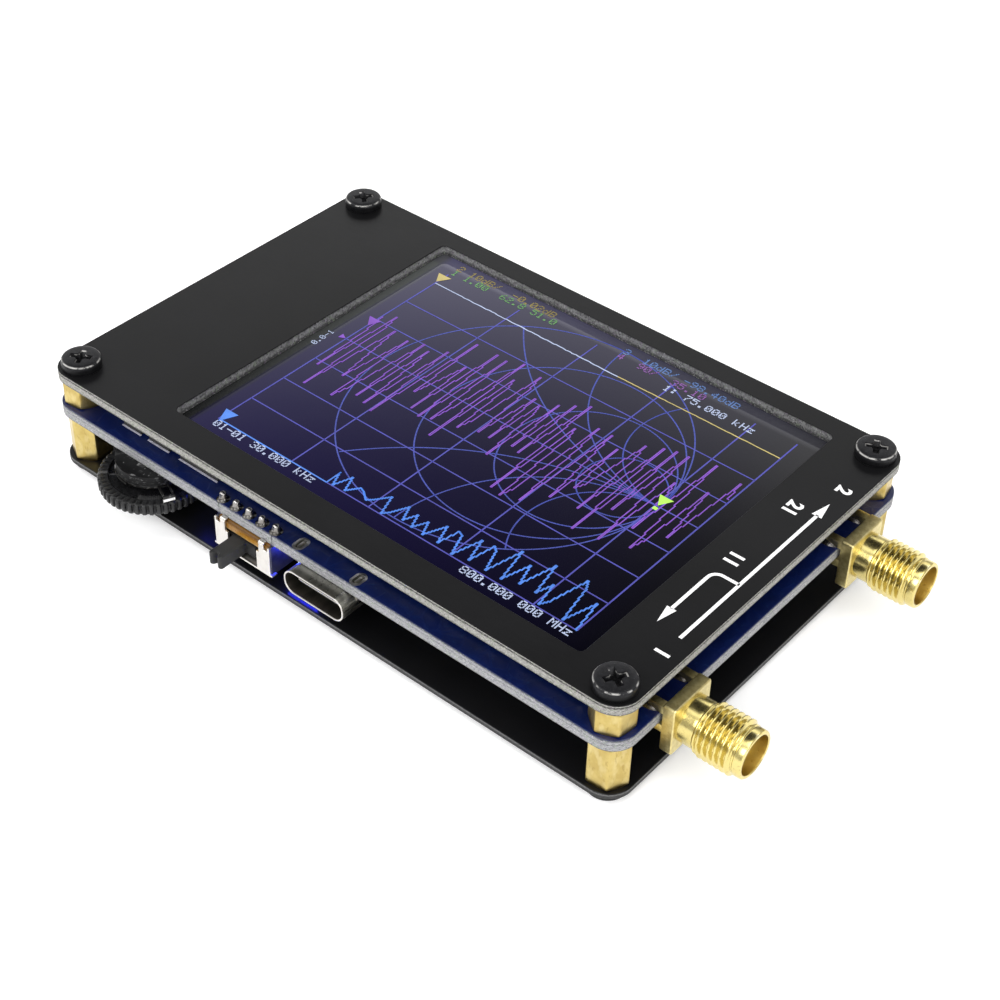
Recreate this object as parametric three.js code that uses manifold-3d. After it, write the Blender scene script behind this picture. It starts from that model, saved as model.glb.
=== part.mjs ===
// A pocket antenna analyzer: three boards on brass standoffs, a display, two threaded coaxial ports,
// a USB-C socket, a slide switch and a rocking thumb wheel.
// Millimetres, +Z up. The origin is the centre of the bottom cover's underside.
// +X points to the ports, and -Y is the side with the wheel, the switch and the socket.
import * as THREE from 'three';
import { mergeVertices } from 'three/addons/utils/BufferGeometryUtils.js';
import Module from 'manifold-3d';

const wasm = await Module();
wasm.setup();

// Sides on round pieces
const FINE_SIDES = 20;
const ROUND_SIDES = 14;
const SMALL_SIDES = 8;
const ARC_STEPS = 6;

// Clearances
const SEAT_GAP = 0.3;
const RUN_GAP = 0.1;
const CUT_OVERRUN = 1.0;

// The three boards and the gaps between them
const BOARD_LENGTH = 85.5;
const BOARD_WIDTH = 54.2;
const BOARD_CORNER = 3.0;
const BASE_THICK = 0.8;
const LOWER_GAP = 6.3;
const MAIN_THICK = 1.6;
const UPPER_GAP = 3.5;
const COVER_THICK = 1.4;

// Window in the top cover: the rims that are left round it
const WINDOW_RIM_LEFT = 17.45;
const WINDOW_RIM_RIGHT = 8.25;
const WINDOW_RIM_NEAR = 4.25;
const WINDOW_RIM_FAR = 3.05;
const WINDOW_CORNER = 0.7;

// The middle of the bottom cover, clear of the screw heads
const BASE_FIELD_SHARE = 0.84;

// Screws
const SCREW_INSET_X = 2.95;
const SCREW_INSET_Y = 2.85;
const SHANK_RADIUS = 1.2;
const SHANK_REACH = 2.4;
const HEAD_RADIUS = 2.4;
const HEAD_RIM = 0.8;
const HEAD_HEIGHT = 1.25;
const HEAD_BEVEL = 0.4;
const BASE_HEAD_RIM = 0.6;
const BASE_HEAD_HEIGHT = 0.95;
const CROSS_LENGTH = 2.7;
const CROSS_WIDTH = 0.7;
const CROSS_DEPTH = 0.7;
const CROSS_TURN_SHARES = [0.66, 0.33, 0.59, 0.3];

// Hexagon standoffs
const HEX_FLATS = 4.5;
const HEX_CHAMFER = 0.3;
const STUD_REACH = 2.8;
const UPPER_TURN_SHARES = [0.88, 0.6, 0.35, 0.2];
const LOWER_TURN_SHARES = [0.57, 0.03, 0.45, 0.7];

// Display
const LCD_RIM_LEFT = 9.95;
const LCD_RIM_RIGHT = 6.35;
const LCD_RIM_NEAR = 2.7;
const LCD_RIM_FAR = 1.5;
const LCD_CORNER = 0.8;
const LCD_GLASS_THICK = 1.1;
const LCD_GLASS_INSET = 0.5;
const LCD_FRAME_THICK = 1.7;
const LCD_CATCH_LENGTH = 1.6;
const LCD_CATCH_DEPTH = 0.5;
const LCD_CATCH_SHARES = [-0.36, -0.22, 0.0, 0.22, 0.36];
const TAPE_LENGTH = 46.0;
const TAPE_WIDTH = 5.0;
const TAPE_Y = 17.0;
const FLEX_WIDTH = 22.0;
const FLEX_THICK = 0.3;
const FLEX_STRAIGHT = 0.5;
const FLEX_TAIL = 4.2;
const FLEX_LEVEL = 1.9;

// Coaxial ports
const PORT_INSET_NEAR = 9.95;
const PORT_INSET_FAR = 11.1;
const PORT_DROP = 0.3;
const PORT_STANDOUT = 0.35;
const FLANGE_SIDE = 6.4;
const FLANGE_THICK = 1.5;
const FLANGE_BEVEL = 0.3;
const NECK_RADIUS = 2.75;
const NECK_LENGTH = 1.9;
const NECK_RELIEF = 0.15;
const THREAD_CREST = 3.17;
const THREAD_ROOT = 2.75;
const THREAD_PITCH = 0.7;
const THREAD_TURNS = 7;
const LIP_RADIUS = 2.8;
const LIP_LENGTH = 1.1;
const LIP_BEVEL = 0.2;
const MOUTH_RADIUS = 2.32;
const MOUTH_DEPTH = 1.9;
const PORT_BORE = 2.1;
const PORT_WALL = 0.8;
const TAIL_HOLE = 0.95;
const LEG_SIDE = 1.0;
const LEG_LENGTH = 4.4;
const LEG_SPREAD = 5.3;
const CONTACT_RADIUS = 0.62;
const CONTACT_SOCKET = 0.38;
const CONTACT_SOCKET_DEPTH = 2.2;
const TAIL_WIDTH = 0.8;
const TAIL_THICK = 0.45;
const TAIL_LENGTH = 2.6;

// USB-C socket
const USB_INSET_X = 45.05;
const USB_WIDTH = 8.94;
const USB_HEIGHT = 3.26;
const USB_WALL = 0.3;
const USB_CORNER = 1.45;
const USB_DEPTH = 7.35;
const USB_STANDOUT = 1.65;
const USB_TAB_LENGTH = 1.0;
const USB_TAB_FRONT = 2.75;
const USB_TAB_PITCH = 4.18;
const USB_TAB_DROP = 1.2;
const TONGUE_WIDTH = 6.7;
const TONGUE_THICK = 0.7;
const TONGUE_RECESS = 1.0;
const TONGUE_CORNER = 0.5;
const TONGUE_BLOCK = 2.0;
const SHEET_ARC_STEPS = 3;

// Slide switch
const SWITCH_INSET_X = 33.0;
const SWITCH_STANDOUT = 0.7;
const SWITCH_WIDTH = 8.7;
const SWITCH_HEIGHT = 4.2;
const SWITCH_DEPTH = 4.4;
const SWITCH_SHEET = 0.3;
const SWITCH_SHOULDER = 0.6;
const SWITCH_TAB_WIDTH = 0.8;
const SWITCH_TAB_SPREAD = 3.05;
const SWITCH_TAB_EDGE_GAP = 0.1;
const SWITCH_LEG = 0.9;
const SWITCH_BASE_THICK = 1.4;
const SWITCH_PIN_PITCH = 2.05;
const SWITCH_PIN_RADIUS = 0.3;
const SWITCH_PIN_HEAD = 0.7;
const SWITCH_PIN_HEAD_THICK = 0.2;
const PIN_INSET = 0.75;
const PIN_STANDOUT = 0.9;
const KNOB_WIDTH = 2.0;
const KNOB_HEIGHT = 1.8;
const KNOB_REACH = 3.3;
const KNOB_GROOVE = 0.4;
const KNOB_RISE = 1.5;
const KNOB_TRAVEL = 2.0;
const SLIDER_LENGTH = 5.0;
const SLIDER_BACK_GAP = 0.6;

// Thumb wheel switch
const JOG_INSET_X = 15.3;
const JOG_INSET_Y = 2.0;
const JOG_TRAVEL = 0.8;
const JOG_BASE_THICK = 1.5;
const JOG_BASE_RADIUS = 4.3;
const JOG_BASE_BACK = 6.4;
const JOG_ROOF = 0.5;
const JOG_WHEEL_DROP = 2.4;
const JOG_WHEEL_RADIUS = 6.6;
const JOG_WHEEL_THICK = 1.55;
const JOG_RIM = 1.3;
const JOG_WEB_THICK = 0.75;
const JOG_HUB_RADIUS = 2.3;
const JOG_RIBS = 48;
const JOG_RIB_DEPTH = 0.2;
const JOG_RIB_SHARE = 0.55;
const JOG_NOTCH_TURN_SHARE = 0.857;
const JOG_NOTCH_SPAN_SHARE = 0.055;
const JOG_AXLE_RADIUS = 1.0;
const JOG_TONGUE_WIDTH = 2.4;
const JOG_TONGUE_LENGTH = 3.0;
const JOG_CAP_RADIUS = 2.1;
const JOG_CAP_THICK = 0.45;
const JOG_CAP_BEVEL = 0.15;
const JOG_BRACKET_THICK = 0.25;
const JOG_BRACKET_BORE = 3.5;
const JOG_BRACKET_LIP = 0.15;
const JOG_BRACKET_LIP_SHARES = [0.5, 0.76];
const JOG_LUG_TURN_SHARE = 0.93;
const JOG_LUG_WIDTH = 1.4;
const JOG_LUG_ARM = 0.22;
const JOG_LUG_REACH = 6.3;
const JOG_LUG_DROP = 0.75;

// Battery and its leads
const CELL_LENGTH = 36.0;
const CELL_WIDTH = 31.0;
const CELL_THICK = 4.0;
const CELL_EDGE = 1.9;
const CELL_INSET_X = 10.25;
const CELL_INSET_Y = 8.1;
const CELL_TERRACE = 2.6;
const CELL_TERRACE_THICK = 2.0;
const CELL_TERRACE_SHARE = 0.86;
const CELL_TAPE_THICK = 0.5;
const CELL_TAPE_INSET = 5.0;
const LEAD_RADIUS = 0.4;
const LEAD_PITCH = 1.25;
const LEAD_STEPS = 10;
const LEAD_ARC_STEPS = 4;
const LEAD_EXIT_SHARE = 0.22;
const LEAD_SIDE_SHARE = 0.5;
const PLUG_GAP_X = 8.5;
const PLUG_INSET_Y = 9.9;
const PLUG_WIDTH = 4.2;
const PLUG_LENGTH = 3.2;
const PLUG_HEIGHT = 2.4;
const PLUG_LIFT = 0.5;
const PLUG_RIDGE = 0.4;
const SOCKET_WIDTH = 5.6;
const SOCKET_LENGTH = 4.4;
const SOCKET_HEIGHT = 3.4;

// Screening can and the packages
const CAN_INSET_X = 15.75;
const CAN_Y = -0.5;
const CAN_LENGTH = 20.0;
const CAN_WIDTH = 22.0;
const CAN_HEIGHT = 2.4;
const CAN_WALL = 0.3;
const CAN_CORNER = 1.0;
const CAN_NOTCH = 3.0;
const CAN_NOTCH_HEIGHT = 0.6;
const MIXER_LENGTH = 4.9;
const MIXER_WIDTH = 3.9;
const MIXER_HEIGHT = 1.5;
const MIXER_PINS = 4;
const MIXER_PITCH = 1.27;
const MIXER_PLACE_SHARES = [-0.3, 0.0, 0.3];
const CHIP_LIFT = 0.1;
const FOOT_WIDTH = 0.3;
const FOOT_THICK = 0.15;
const FOOT_REACH = 1.0;
const FOOT_SHOULDER = 0.4;
const PROCESSOR_SIDE = 7.0;
const PROCESSOR_HEIGHT = 1.4;
const PROCESSOR_PINS = 8;
const PROCESSOR_PITCH = 0.8;
const CLOCK_PITCH = 0.5;
const PROCESSOR_X = 10.0;
const PROCESSOR_Y = -12.5;
const CODEC_SIDE = 5.0;
const CODEC_HEIGHT = 0.9;
const CODEC_X = 10.2;
const CODEC_Y = -2.5;
const CLOCK_SIDE = 3.0;
const CLOCK_HEIGHT = 1.0;
const CLOCK_PINS = 5;
const CLOCK_X = 10.2;
const CLOCK_Y = 5.5;
const CHARGER_LENGTH = 2.9;
const CHARGER_WIDTH = 1.6;
const CHARGER_HEIGHT = 1.1;
const CHARGER_PINS = 3;
const CHARGER_PITCH = 0.95;
const CHARGER_X = 14.0;
const CHARGER_INSET_Y = 5.1;
const CRYSTAL_LENGTH = 5.0;
const CRYSTAL_WIDTH = 3.2;
const CRYSTAL_HEIGHT = 1.1;
const CRYSTAL_X = 10.2;
const CRYSTAL_Y = 10.3;
const COIL_SIDE = 4.0;
const COIL_HEIGHT = 1.8;
const COIL_X = 20.0;
const COIL_INSET_Y = 5.6;
const PACKAGE_BEVEL = 0.2;
const LED_LENGTH = 1.6;
const LED_WIDTH = 0.8;
const LED_HEIGHT = 0.6;
const LED_GAP_X = 5.85;
const LED_INSET_Y = 2.5;

// Levels and places worked out from the sizes above
const MAIN_BOTTOM = BASE_THICK + LOWER_GAP;
const MAIN_TOP = MAIN_BOTTOM + MAIN_THICK;
const COVER_BOTTOM = MAIN_TOP + UPPER_GAP;
const COVER_TOP = COVER_BOTTOM + COVER_THICK;
const HALF_LENGTH = BOARD_LENGTH / 2;
const HALF_WIDTH = BOARD_WIDTH / 2;
const WINDOW_LENGTH = BOARD_LENGTH - WINDOW_RIM_LEFT - WINDOW_RIM_RIGHT;
const WINDOW_WIDTH = BOARD_WIDTH - WINDOW_RIM_NEAR - WINDOW_RIM_FAR;
const WINDOW_X = (WINDOW_RIM_LEFT - WINDOW_RIM_RIGHT) / 2;
const WINDOW_Y = (WINDOW_RIM_NEAR - WINDOW_RIM_FAR) / 2;
const LCD_LENGTH = BOARD_LENGTH - LCD_RIM_LEFT - LCD_RIM_RIGHT;
const LCD_WIDTH = BOARD_WIDTH - LCD_RIM_NEAR - LCD_RIM_FAR;
const LCD_X = (LCD_RIM_LEFT - LCD_RIM_RIGHT) / 2;
const LCD_Y = (LCD_RIM_NEAR - LCD_RIM_FAR) / 2;
const SCREW_X = HALF_LENGTH - SCREW_INSET_X;
const SCREW_Y = HALF_WIDTH - SCREW_INSET_Y;
const CORNER_PLACES = [
  [SCREW_X, -SCREW_Y],
  [-SCREW_X, -SCREW_Y],
  [-SCREW_X, SCREW_Y],
  [SCREW_X, SCREW_Y],
];
const BORE_RADIUS = SHANK_RADIUS + SEAT_GAP;
const PORT_Z = MAIN_BOTTOM - PORT_DROP;
const PORT_X = HALF_LENGTH + PORT_STANDOUT;
const PORT_Y_PLACES = [PORT_INSET_NEAR - HALF_WIDTH, HALF_WIDTH - PORT_INSET_FAR];
const THREAD_LENGTH = THREAD_PITCH * THREAD_TURNS;
const THREAD_START = FLANGE_THICK + NECK_LENGTH;
const LIP_START = THREAD_START + THREAD_LENGTH;
const PORT_END = LIP_START + LIP_LENGTH;
const USB_X = USB_INSET_X - HALF_LENGTH;
const USB_FRONT = -HALF_WIDTH - USB_STANDOUT;
const USB_BOTTOM = MAIN_BOTTOM - USB_HEIGHT;
const USB_TAB_X = USB_WIDTH / 2 - USB_WALL / 2;
const SWITCH_X = SWITCH_INSET_X - HALF_LENGTH;
const SWITCH_FRONT = -HALF_WIDTH - SWITCH_STANDOUT;
const SWITCH_BOTTOM = MAIN_BOTTOM - SWITCH_HEIGHT;
const SWITCH_SIDE_X = SWITCH_WIDTH / 2 - SWITCH_SHEET / 2;
const PIN_Y = -HALF_WIDTH + PIN_INSET;
const PIN_TOP = MAIN_TOP + PIN_STANDOUT;
const PIN_HOLE = SWITCH_PIN_RADIUS + SEAT_GAP;
const JOG_X = JOG_INSET_X - HALF_LENGTH;
const JOG_Y = JOG_INSET_Y - HALF_WIDTH;
const JOG_BASE_BOTTOM = MAIN_BOTTOM - JOG_BASE_THICK;
const JOG_WHEEL_TOP = MAIN_BOTTOM - JOG_WHEEL_DROP;
const JOG_WHEEL_BOTTOM = JOG_WHEEL_TOP - JOG_WHEEL_THICK;
const CELL_X = CELL_INSET_X + CELL_LENGTH / 2 - HALF_LENGTH;
const CELL_Y = HALF_WIDTH - CELL_INSET_Y - CELL_WIDTH / 2;
const CELL_TOP = MAIN_BOTTOM - CELL_TAPE_THICK;
const CELL_BOTTOM = CELL_TOP - CELL_THICK;
const CELL_END = CELL_X + CELL_LENGTH / 2;
const PLUG_X = CELL_END + PLUG_GAP_X;
const PLUG_Y = HALF_WIDTH - PLUG_INSET_Y;
const PLUG_TOP = MAIN_BOTTOM - PLUG_LIFT;
const CAN_X = HALF_LENGTH - CAN_INSET_X;
const CHARGER_Y = CHARGER_INSET_Y - HALF_WIDTH;
const COIL_Y = COIL_INSET_Y - HALF_WIDTH;
const LED_X = SWITCH_X + LED_GAP_X;
const LED_Y = LED_INSET_Y - HALF_WIDTH;

// Materials
function finish(color, roughness, metalness) {
  return new THREE.MeshStandardMaterial({ color, roughness, metalness });
}
const BLACK_MASK = finish(0x15151a, 0.25, 0.0);
const BLUE_MASK = finish(0x12246e, 0.35, 0.0);
const BLACK_STEEL = finish(0x1b1b1d, 0.4, 0.7);
const BRASS = finish(0xc9a55a, 0.35, 1.0);
const GOLD = finish(0xd8b04a, 0.22, 1.0);
const WHITE_RESIN = finish(0xe8e4d8, 0.5, 0.0);
const STEEL = finish(0xb9bcc0, 0.3, 1.0);
const NICKEL = finish(0xcfcfca, 0.25, 1.0);
const BLACK_RESIN = finish(0x1c1c1c, 0.55, 0.0);
const LAMINATE = finish(0x9a5a22, 0.55, 0.0);
const GLASS = finish(0x10101c, 0.08, 0.0);
const TRAY = finish(0xd5d7da, 0.4, 0.3);
const AMBER_FILM = finish(0xa8641c, 0.4, 0.0);
const FOAM = finish(0x222222, 0.9, 0.0);
const FOIL = finish(0xa9adb3, 0.45, 0.6);
const RED_SLEEVE = finish(0xb01a1a, 0.5, 0.0);
const BLACK_SLEEVE = finish(0x141414, 0.5, 0.0);
const BLUE_LAMP = finish(0x4a6cff, 0.2, 0.0);

// A closed mesh of a three.js geometry, as a solid
function solidOf(geometry) {
  const bare = geometry.clone();
  bare.deleteAttribute('normal');
  bare.deleteAttribute('uv');
  const merged = mergeVertices(bare);
  const index = merged.index.array;
  const kept = [];
  for (let i = 0; i < index.length; i += 3) {
    const [a, b, c] = [index[i], index[i + 1], index[i + 2]];
    if (a !== b && b !== c && c !== a) kept.push(a, b, c);
  }
  const vertProperties = new Float32Array(merged.attributes.position.array);
  const mesh = new wasm.Mesh({ numProp: 3, vertProperties, triVerts: new Uint32Array(kept) });
  return new wasm.Manifold(mesh);
}

function geometryOf(solid) {
  const mesh = solid.getMesh();
  const geometry = new THREE.BufferGeometry();
  geometry.setAttribute('position', new THREE.BufferAttribute(new Float32Array(mesh.vertProperties), 3));
  geometry.setIndex(new THREE.BufferAttribute(new Uint32Array(mesh.triVerts), 1));
  geometry.computeVertexNormals();
  return geometry;
}

function piece(parent, name, solid, material, place = [0, 0, 0], turn = 0) {
  const mesh = new THREE.Mesh(geometryOf(solid), material);
  mesh.name = name;
  mesh.position.set(...place);
  mesh.rotation.z = turn;
  parent.add(mesh);
  return mesh;
}

// A block between two corners
function block(low, high) {
  const size = high.map((value, i) => value - low[i]);
  const geometry = new THREE.BoxGeometry(...size);
  geometry.translate(low[0] + size[0] / 2, low[1] + size[1] / 2, low[2] + size[2] / 2);
  return solidOf(geometry);
}

// A flat shape drawn in X and Y, raised from one level to another
function raised(shape, from, to, steps = ARC_STEPS) {
  const geometry = new THREE.ExtrudeGeometry(shape, {
    depth: to - from,
    bevelEnabled: false,
    curveSegments: steps,
  });
  geometry.translate(0, 0, from);
  return solidOf(geometry);
}

// An upright round rod between two levels
function rod(x, y, radius, from, to, sides = ROUND_SIDES) {
  const geometry = new THREE.CylinderGeometry(radius, radius, to - from, sides);
  geometry.rotateX(Math.PI / 2);
  geometry.translate(x, y, (from + to) / 2);
  return solidOf(geometry);
}

// A profile of [radius, level] points turned about the Z axis, drawn from the low end up
function turned(profile, sides = ROUND_SIDES) {
  const points = profile.map(([radius, level]) => new THREE.Vector2(radius, level));
  const geometry = new THREE.LatheGeometry(points, sides);
  geometry.rotateX(Math.PI / 2);
  return solidOf(geometry);
}

function roundedShape(length, width, corner) {
  const shape = new THREE.Shape();
  const x = length / 2 - corner;
  const y = width / 2 - corner;
  shape.absarc(x, -y, corner, -Math.PI / 2, 0, false);
  shape.absarc(x, y, corner, 0, Math.PI / 2, false);
  shape.absarc(-x, y, corner, Math.PI / 2, Math.PI, false);
  shape.absarc(-x, -y, corner, Math.PI, Math.PI * 1.5, false);
  shape.closePath();
  return shape;
}

function together(solids) {
  return solids.reduce((sum, next) => sum.add(next));
}

function without(solid, cuts) {
  return cuts.reduce((rest, cut) => rest.subtract(cut), solid);
}

// Boards: rounded plates with their holes and openings
function boardPlate(from, to) {
  const plate = raised(roundedShape(BOARD_LENGTH, BOARD_WIDTH, BOARD_CORNER), from, to);
  const holes = CORNER_PLACES.map(([x, y]) =>
    rod(x, y, BORE_RADIUS, from - CUT_OVERRUN, to + CUT_OVERRUN));
  return without(plate, holes);
}

function topCover() {
  const window = raised(
    roundedShape(WINDOW_LENGTH, WINDOW_WIDTH, WINDOW_CORNER),
    COVER_BOTTOM - CUT_OVERRUN,
    COVER_TOP + CUT_OVERRUN,
  ).translate([WINDOW_X, WINDOW_Y, 0]);
  return boardPlate(COVER_BOTTOM, COVER_TOP).subtract(window);
}

// The clear middle is joined in as a block of its own, so its underside stays one face
function bottomCover() {
  const plate = boardPlate(0, BASE_THICK);
  const half = BASE_FIELD_SHARE * HALF_LENGTH;
  const field = block([-half, -BOARD_WIDTH, -CUT_OVERRUN], [half, BOARD_WIDTH, BASE_THICK + CUT_OVERRUN]);
  return plate.subtract(field).add(plate.intersect(field));
}

function slotCut(x, y, length, width) {
  const shape = roundedShape(width, length, width / 2 - RUN_GAP / 2);
  return raised(shape, MAIN_BOTTOM - CUT_OVERRUN, MAIN_TOP + CUT_OVERRUN, 2).translate([x, y, 0]);
}

function mainBoard() {
  const cuts = [];
  for (const step of [-1, 0, 1]) {
    const x = SWITCH_X + step * SWITCH_PIN_PITCH;
    cuts.push(rod(x, PIN_Y, PIN_HOLE, MAIN_BOTTOM - CUT_OVERRUN, MAIN_TOP + CUT_OVERRUN, SMALL_SIDES));
  }
  for (const side of [-1, 1]) {
    const legSlot = SWITCH_LEG + 2 * SEAT_GAP;
    cuts.push(slotCut(SWITCH_X + side * SWITCH_SIDE_X, PIN_Y, legSlot, SWITCH_SHEET + 2 * SEAT_GAP));
    for (const row of [0, 1]) {
      const y = USB_FRONT + USB_TAB_FRONT + row * USB_TAB_PITCH;
      const tabSlot = USB_TAB_LENGTH + 2 * SEAT_GAP;
      cuts.push(slotCut(USB_X + side * USB_TAB_X, y, tabSlot, USB_WALL + 2 * SEAT_GAP));
    }
  }
  return without(boardPlate(MAIN_BOTTOM, MAIN_TOP), cuts);
}

// A pan-head screw that stands on level 0, with its shank below
function screw(rim, height, reach) {
  const profile = [
    [0, -reach],
    [SHANK_RADIUS, -reach],
    [SHANK_RADIUS, 0],
    [HEAD_RADIUS, 0],
    [HEAD_RADIUS, rim],
    [HEAD_RADIUS - HEAD_BEVEL, height],
    [0, height],
  ];
  const floor = height - CROSS_DEPTH;
  const top = height + CUT_OVERRUN;
  const arm = CROSS_LENGTH / 2;
  const half = CROSS_WIDTH / 2;
  const cross = together([
    block([-arm, -half, floor], [arm, half, top]),
    block([-half, -arm, floor], [half, arm, top]),
  ]);
  return turned(profile).subtract(cross);
}

// A hexagon between two levels with its ends chamfered
function hexagon(from, to) {
  const corner = HEX_FLATS / Math.sqrt(3);
  const prism = rod(0, 0, corner, from, to, 6);
  const face = corner - HEX_CHAMFER;
  const rise = HEX_CHAMFER / 2;
  const envelope = turned([
    [0, from],
    [face, from],
    [corner, from + rise],
    [corner, to - rise],
    [face, to],
    [0, to],
  ]);
  return prism.intersect(envelope);
}

function upperStandoff() {
  const top = UPPER_GAP;
  const bore = rod(0, 0, BORE_RADIUS, top - SHANK_REACH - SEAT_GAP, top + CUT_OVERRUN);
  const stud = rod(0, 0, SHANK_RADIUS, -MAIN_THICK - STUD_REACH, SEAT_GAP);
  return hexagon(0, top).add(stud).subtract(bore);
}

function lowerStandoff() {
  const bore = rod(0, 0, BORE_RADIUS, -CUT_OVERRUN, LOWER_GAP + CUT_OVERRUN);
  return hexagon(0, LOWER_GAP).subtract(bore);
}

// Display: tray with its catches, glass, folded lead and foam strips
function lcdFrame() {
  const bottom = COVER_BOTTOM - LCD_GLASS_THICK - LCD_FRAME_THICK;
  const top = COVER_BOTTOM - LCD_GLASS_THICK;
  const tray = raised(roundedShape(LCD_LENGTH, LCD_WIDTH, LCD_CORNER), bottom, top, SHEET_ARC_STEPS);
  const cuts = [];
  for (const side of [-1, 1]) {
    for (const share of LCD_CATCH_SHARES) {
      const x = share * LCD_LENGTH;
      const y = side * LCD_WIDTH / 2;
      const half = LCD_CATCH_LENGTH / 2;
      const low = [x - half, y - LCD_CATCH_DEPTH, bottom - CUT_OVERRUN];
      cuts.push(block(low, [x + half, y + LCD_CATCH_DEPTH, top + CUT_OVERRUN]));
    }
  }
  return without(tray, cuts);
}

function lcdGlass() {
  const length = LCD_LENGTH - 2 * LCD_GLASS_INSET;
  const width = LCD_WIDTH - 2 * LCD_GLASS_INSET;
  const bottom = COVER_BOTTOM - LCD_GLASS_THICK;
  return raised(roundedShape(length, width, LCD_CORNER), bottom, COVER_BOTTOM, SHEET_ARC_STEPS);
}

function lcdTape() {
  const top = COVER_BOTTOM - LCD_GLASS_THICK - LCD_FRAME_THICK;
  return block([-TAPE_LENGTH / 2, -TAPE_WIDTH / 2, MAIN_TOP], [TAPE_LENGTH / 2, TAPE_WIDTH / 2, top]);
}

// The folded lead is drawn in X and Z and pulled along Y
function lcdFlex() {
  const start = LCD_X - LCD_LENGTH / 2;
  const bend = start - FLEX_STRAIGHT;
  const middle = MAIN_TOP + FLEX_LEVEL / 2;
  const outer = FLEX_LEVEL / 2;
  const inner = outer - FLEX_THICK;
  const shape = new THREE.Shape();
  shape.moveTo(start, MAIN_TOP + FLEX_LEVEL - FLEX_THICK);
  shape.lineTo(start, MAIN_TOP + FLEX_LEVEL);
  shape.lineTo(bend, MAIN_TOP + FLEX_LEVEL);
  shape.absarc(bend, middle, outer, Math.PI / 2, Math.PI * 1.5, false);
  shape.lineTo(bend + FLEX_TAIL, MAIN_TOP);
  shape.lineTo(bend + FLEX_TAIL, MAIN_TOP + FLEX_THICK);
  shape.lineTo(bend, MAIN_TOP + FLEX_THICK);
  shape.absarc(bend, middle, inner, Math.PI * 1.5, Math.PI / 2, true);
  shape.closePath();
  const sheet = raised(shape, -FLEX_WIDTH / 2, FLEX_WIDTH / 2);
  return sheet.rotate([90, 0, 0]).translate([0, LCD_Y, 0]);
}

// Port shell: turned about its own axis, then laid along +X from the flange's back
function threadProfile() {
  const points = [];
  for (let turn = 0; turn < THREAD_TURNS; turn += 1) {
    const start = THREAD_START + turn * THREAD_PITCH;
    points.push([THREAD_ROOT, start], [THREAD_CREST, start + THREAD_PITCH / 2]);
  }
  return points;
}

function portShell() {
  const barrel = turned([
    [0, 0],
    [NECK_RADIUS, 0],
    [NECK_RADIUS, THREAD_START - NECK_RELIEF],
    ...threadProfile(),
    [LIP_RADIUS, LIP_START],
    [LIP_RADIUS, PORT_END - LIP_BEVEL],
    [LIP_RADIUS - LIP_BEVEL, PORT_END],
    [0, PORT_END],
  ], FINE_SIDES);
  const flange = raised(roundedShape(FLANGE_SIDE, FLANGE_SIDE, FLANGE_BEVEL), 0, FLANGE_THICK, 2);
  const legs = [];
  const boardTop = PORT_DROP + MAIN_THICK;
  const spread = LEG_SPREAD / 2;
  for (const hand of [-1, 1]) {
    const low = hand * spread - LEG_SIDE / 2;
    const high = hand * spread + LEG_SIDE / 2;
    legs.push(block([-boardTop - LEG_SIDE, low, -LEG_LENGTH], [-boardTop, high, FLANGE_BEVEL]));
    legs.push(block([-PORT_DROP, low, -LEG_LENGTH], [-PORT_DROP + LEG_SIDE, high, FLANGE_BEVEL]));
  }
  const mouth = rod(0, 0, MOUTH_RADIUS, PORT_END - MOUTH_DEPTH, PORT_END + CUT_OVERRUN, FINE_SIDES);
  const bore = rod(0, 0, PORT_BORE, PORT_WALL, PORT_END, FINE_SIDES);
  const tailHole = rod(0, 0, TAIL_HOLE, -CUT_OVERRUN, FLANGE_THICK, ROUND_SIDES);
  return without(together([barrel, flange, ...legs]), [mouth, bore, tailHole]);
}

function portInsulator() {
  const ring = rod(0, 0, PORT_BORE - SEAT_GAP, PORT_WALL, PORT_END - MOUTH_DEPTH, FINE_SIDES);
  const hole = rod(0, 0, TAIL_HOLE, 0, PORT_END, ROUND_SIDES);
  return ring.subtract(hole);
}

function portContact() {
  const end = PORT_END - MOUTH_DEPTH;
  const pin = rod(0, 0, CONTACT_RADIUS, 0, end);
  const socket = rod(0, 0, CONTACT_SOCKET, end - CONTACT_SOCKET_DEPTH, end + CUT_OVERRUN, SMALL_SIDES);
  const half = TAIL_WIDTH / 2;
  const tail = block([-PORT_DROP, -half, -TAIL_LENGTH], [-PORT_DROP + TAIL_THICK, half, FLANGE_BEVEL]);
  return pin.add(tail).subtract(socket);
}

// USB-C socket: drawn from its front mouth inwards along +Z, then laid along +Y
function usbShape(inset) {
  const corner = USB_CORNER - inset;
  return roundedShape(USB_WIDTH - 2 * inset, USB_HEIGHT - 2 * inset, corner);
}

function usbShell() {
  const outer = raised(usbShape(0), 0, USB_DEPTH, SHEET_ARC_STEPS);
  const inner = raised(usbShape(USB_WALL), -CUT_OVERRUN, USB_DEPTH - USB_WALL, SHEET_ARC_STEPS);
  const tube = outer.subtract(inner).rotate([-90, 0, 0]);
  const tabs = [];
  const half = USB_TAB_LENGTH / 2;
  for (const side of [-1, 1]) {
    for (const row of [0, 1]) {
      const x = side * USB_TAB_X;
      const y = USB_TAB_FRONT + row * USB_TAB_PITCH;
      const low = [x - USB_WALL / 2, y - half, USB_HEIGHT / 2 - USB_TAB_DROP];
      tabs.push(block(low, [x + USB_WALL / 2, y + half, USB_HEIGHT / 2 + MAIN_THICK]));
    }
  }
  return together([tube, ...tabs]).translate([USB_X, USB_FRONT, USB_BOTTOM + USB_HEIGHT / 2]);
}

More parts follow.
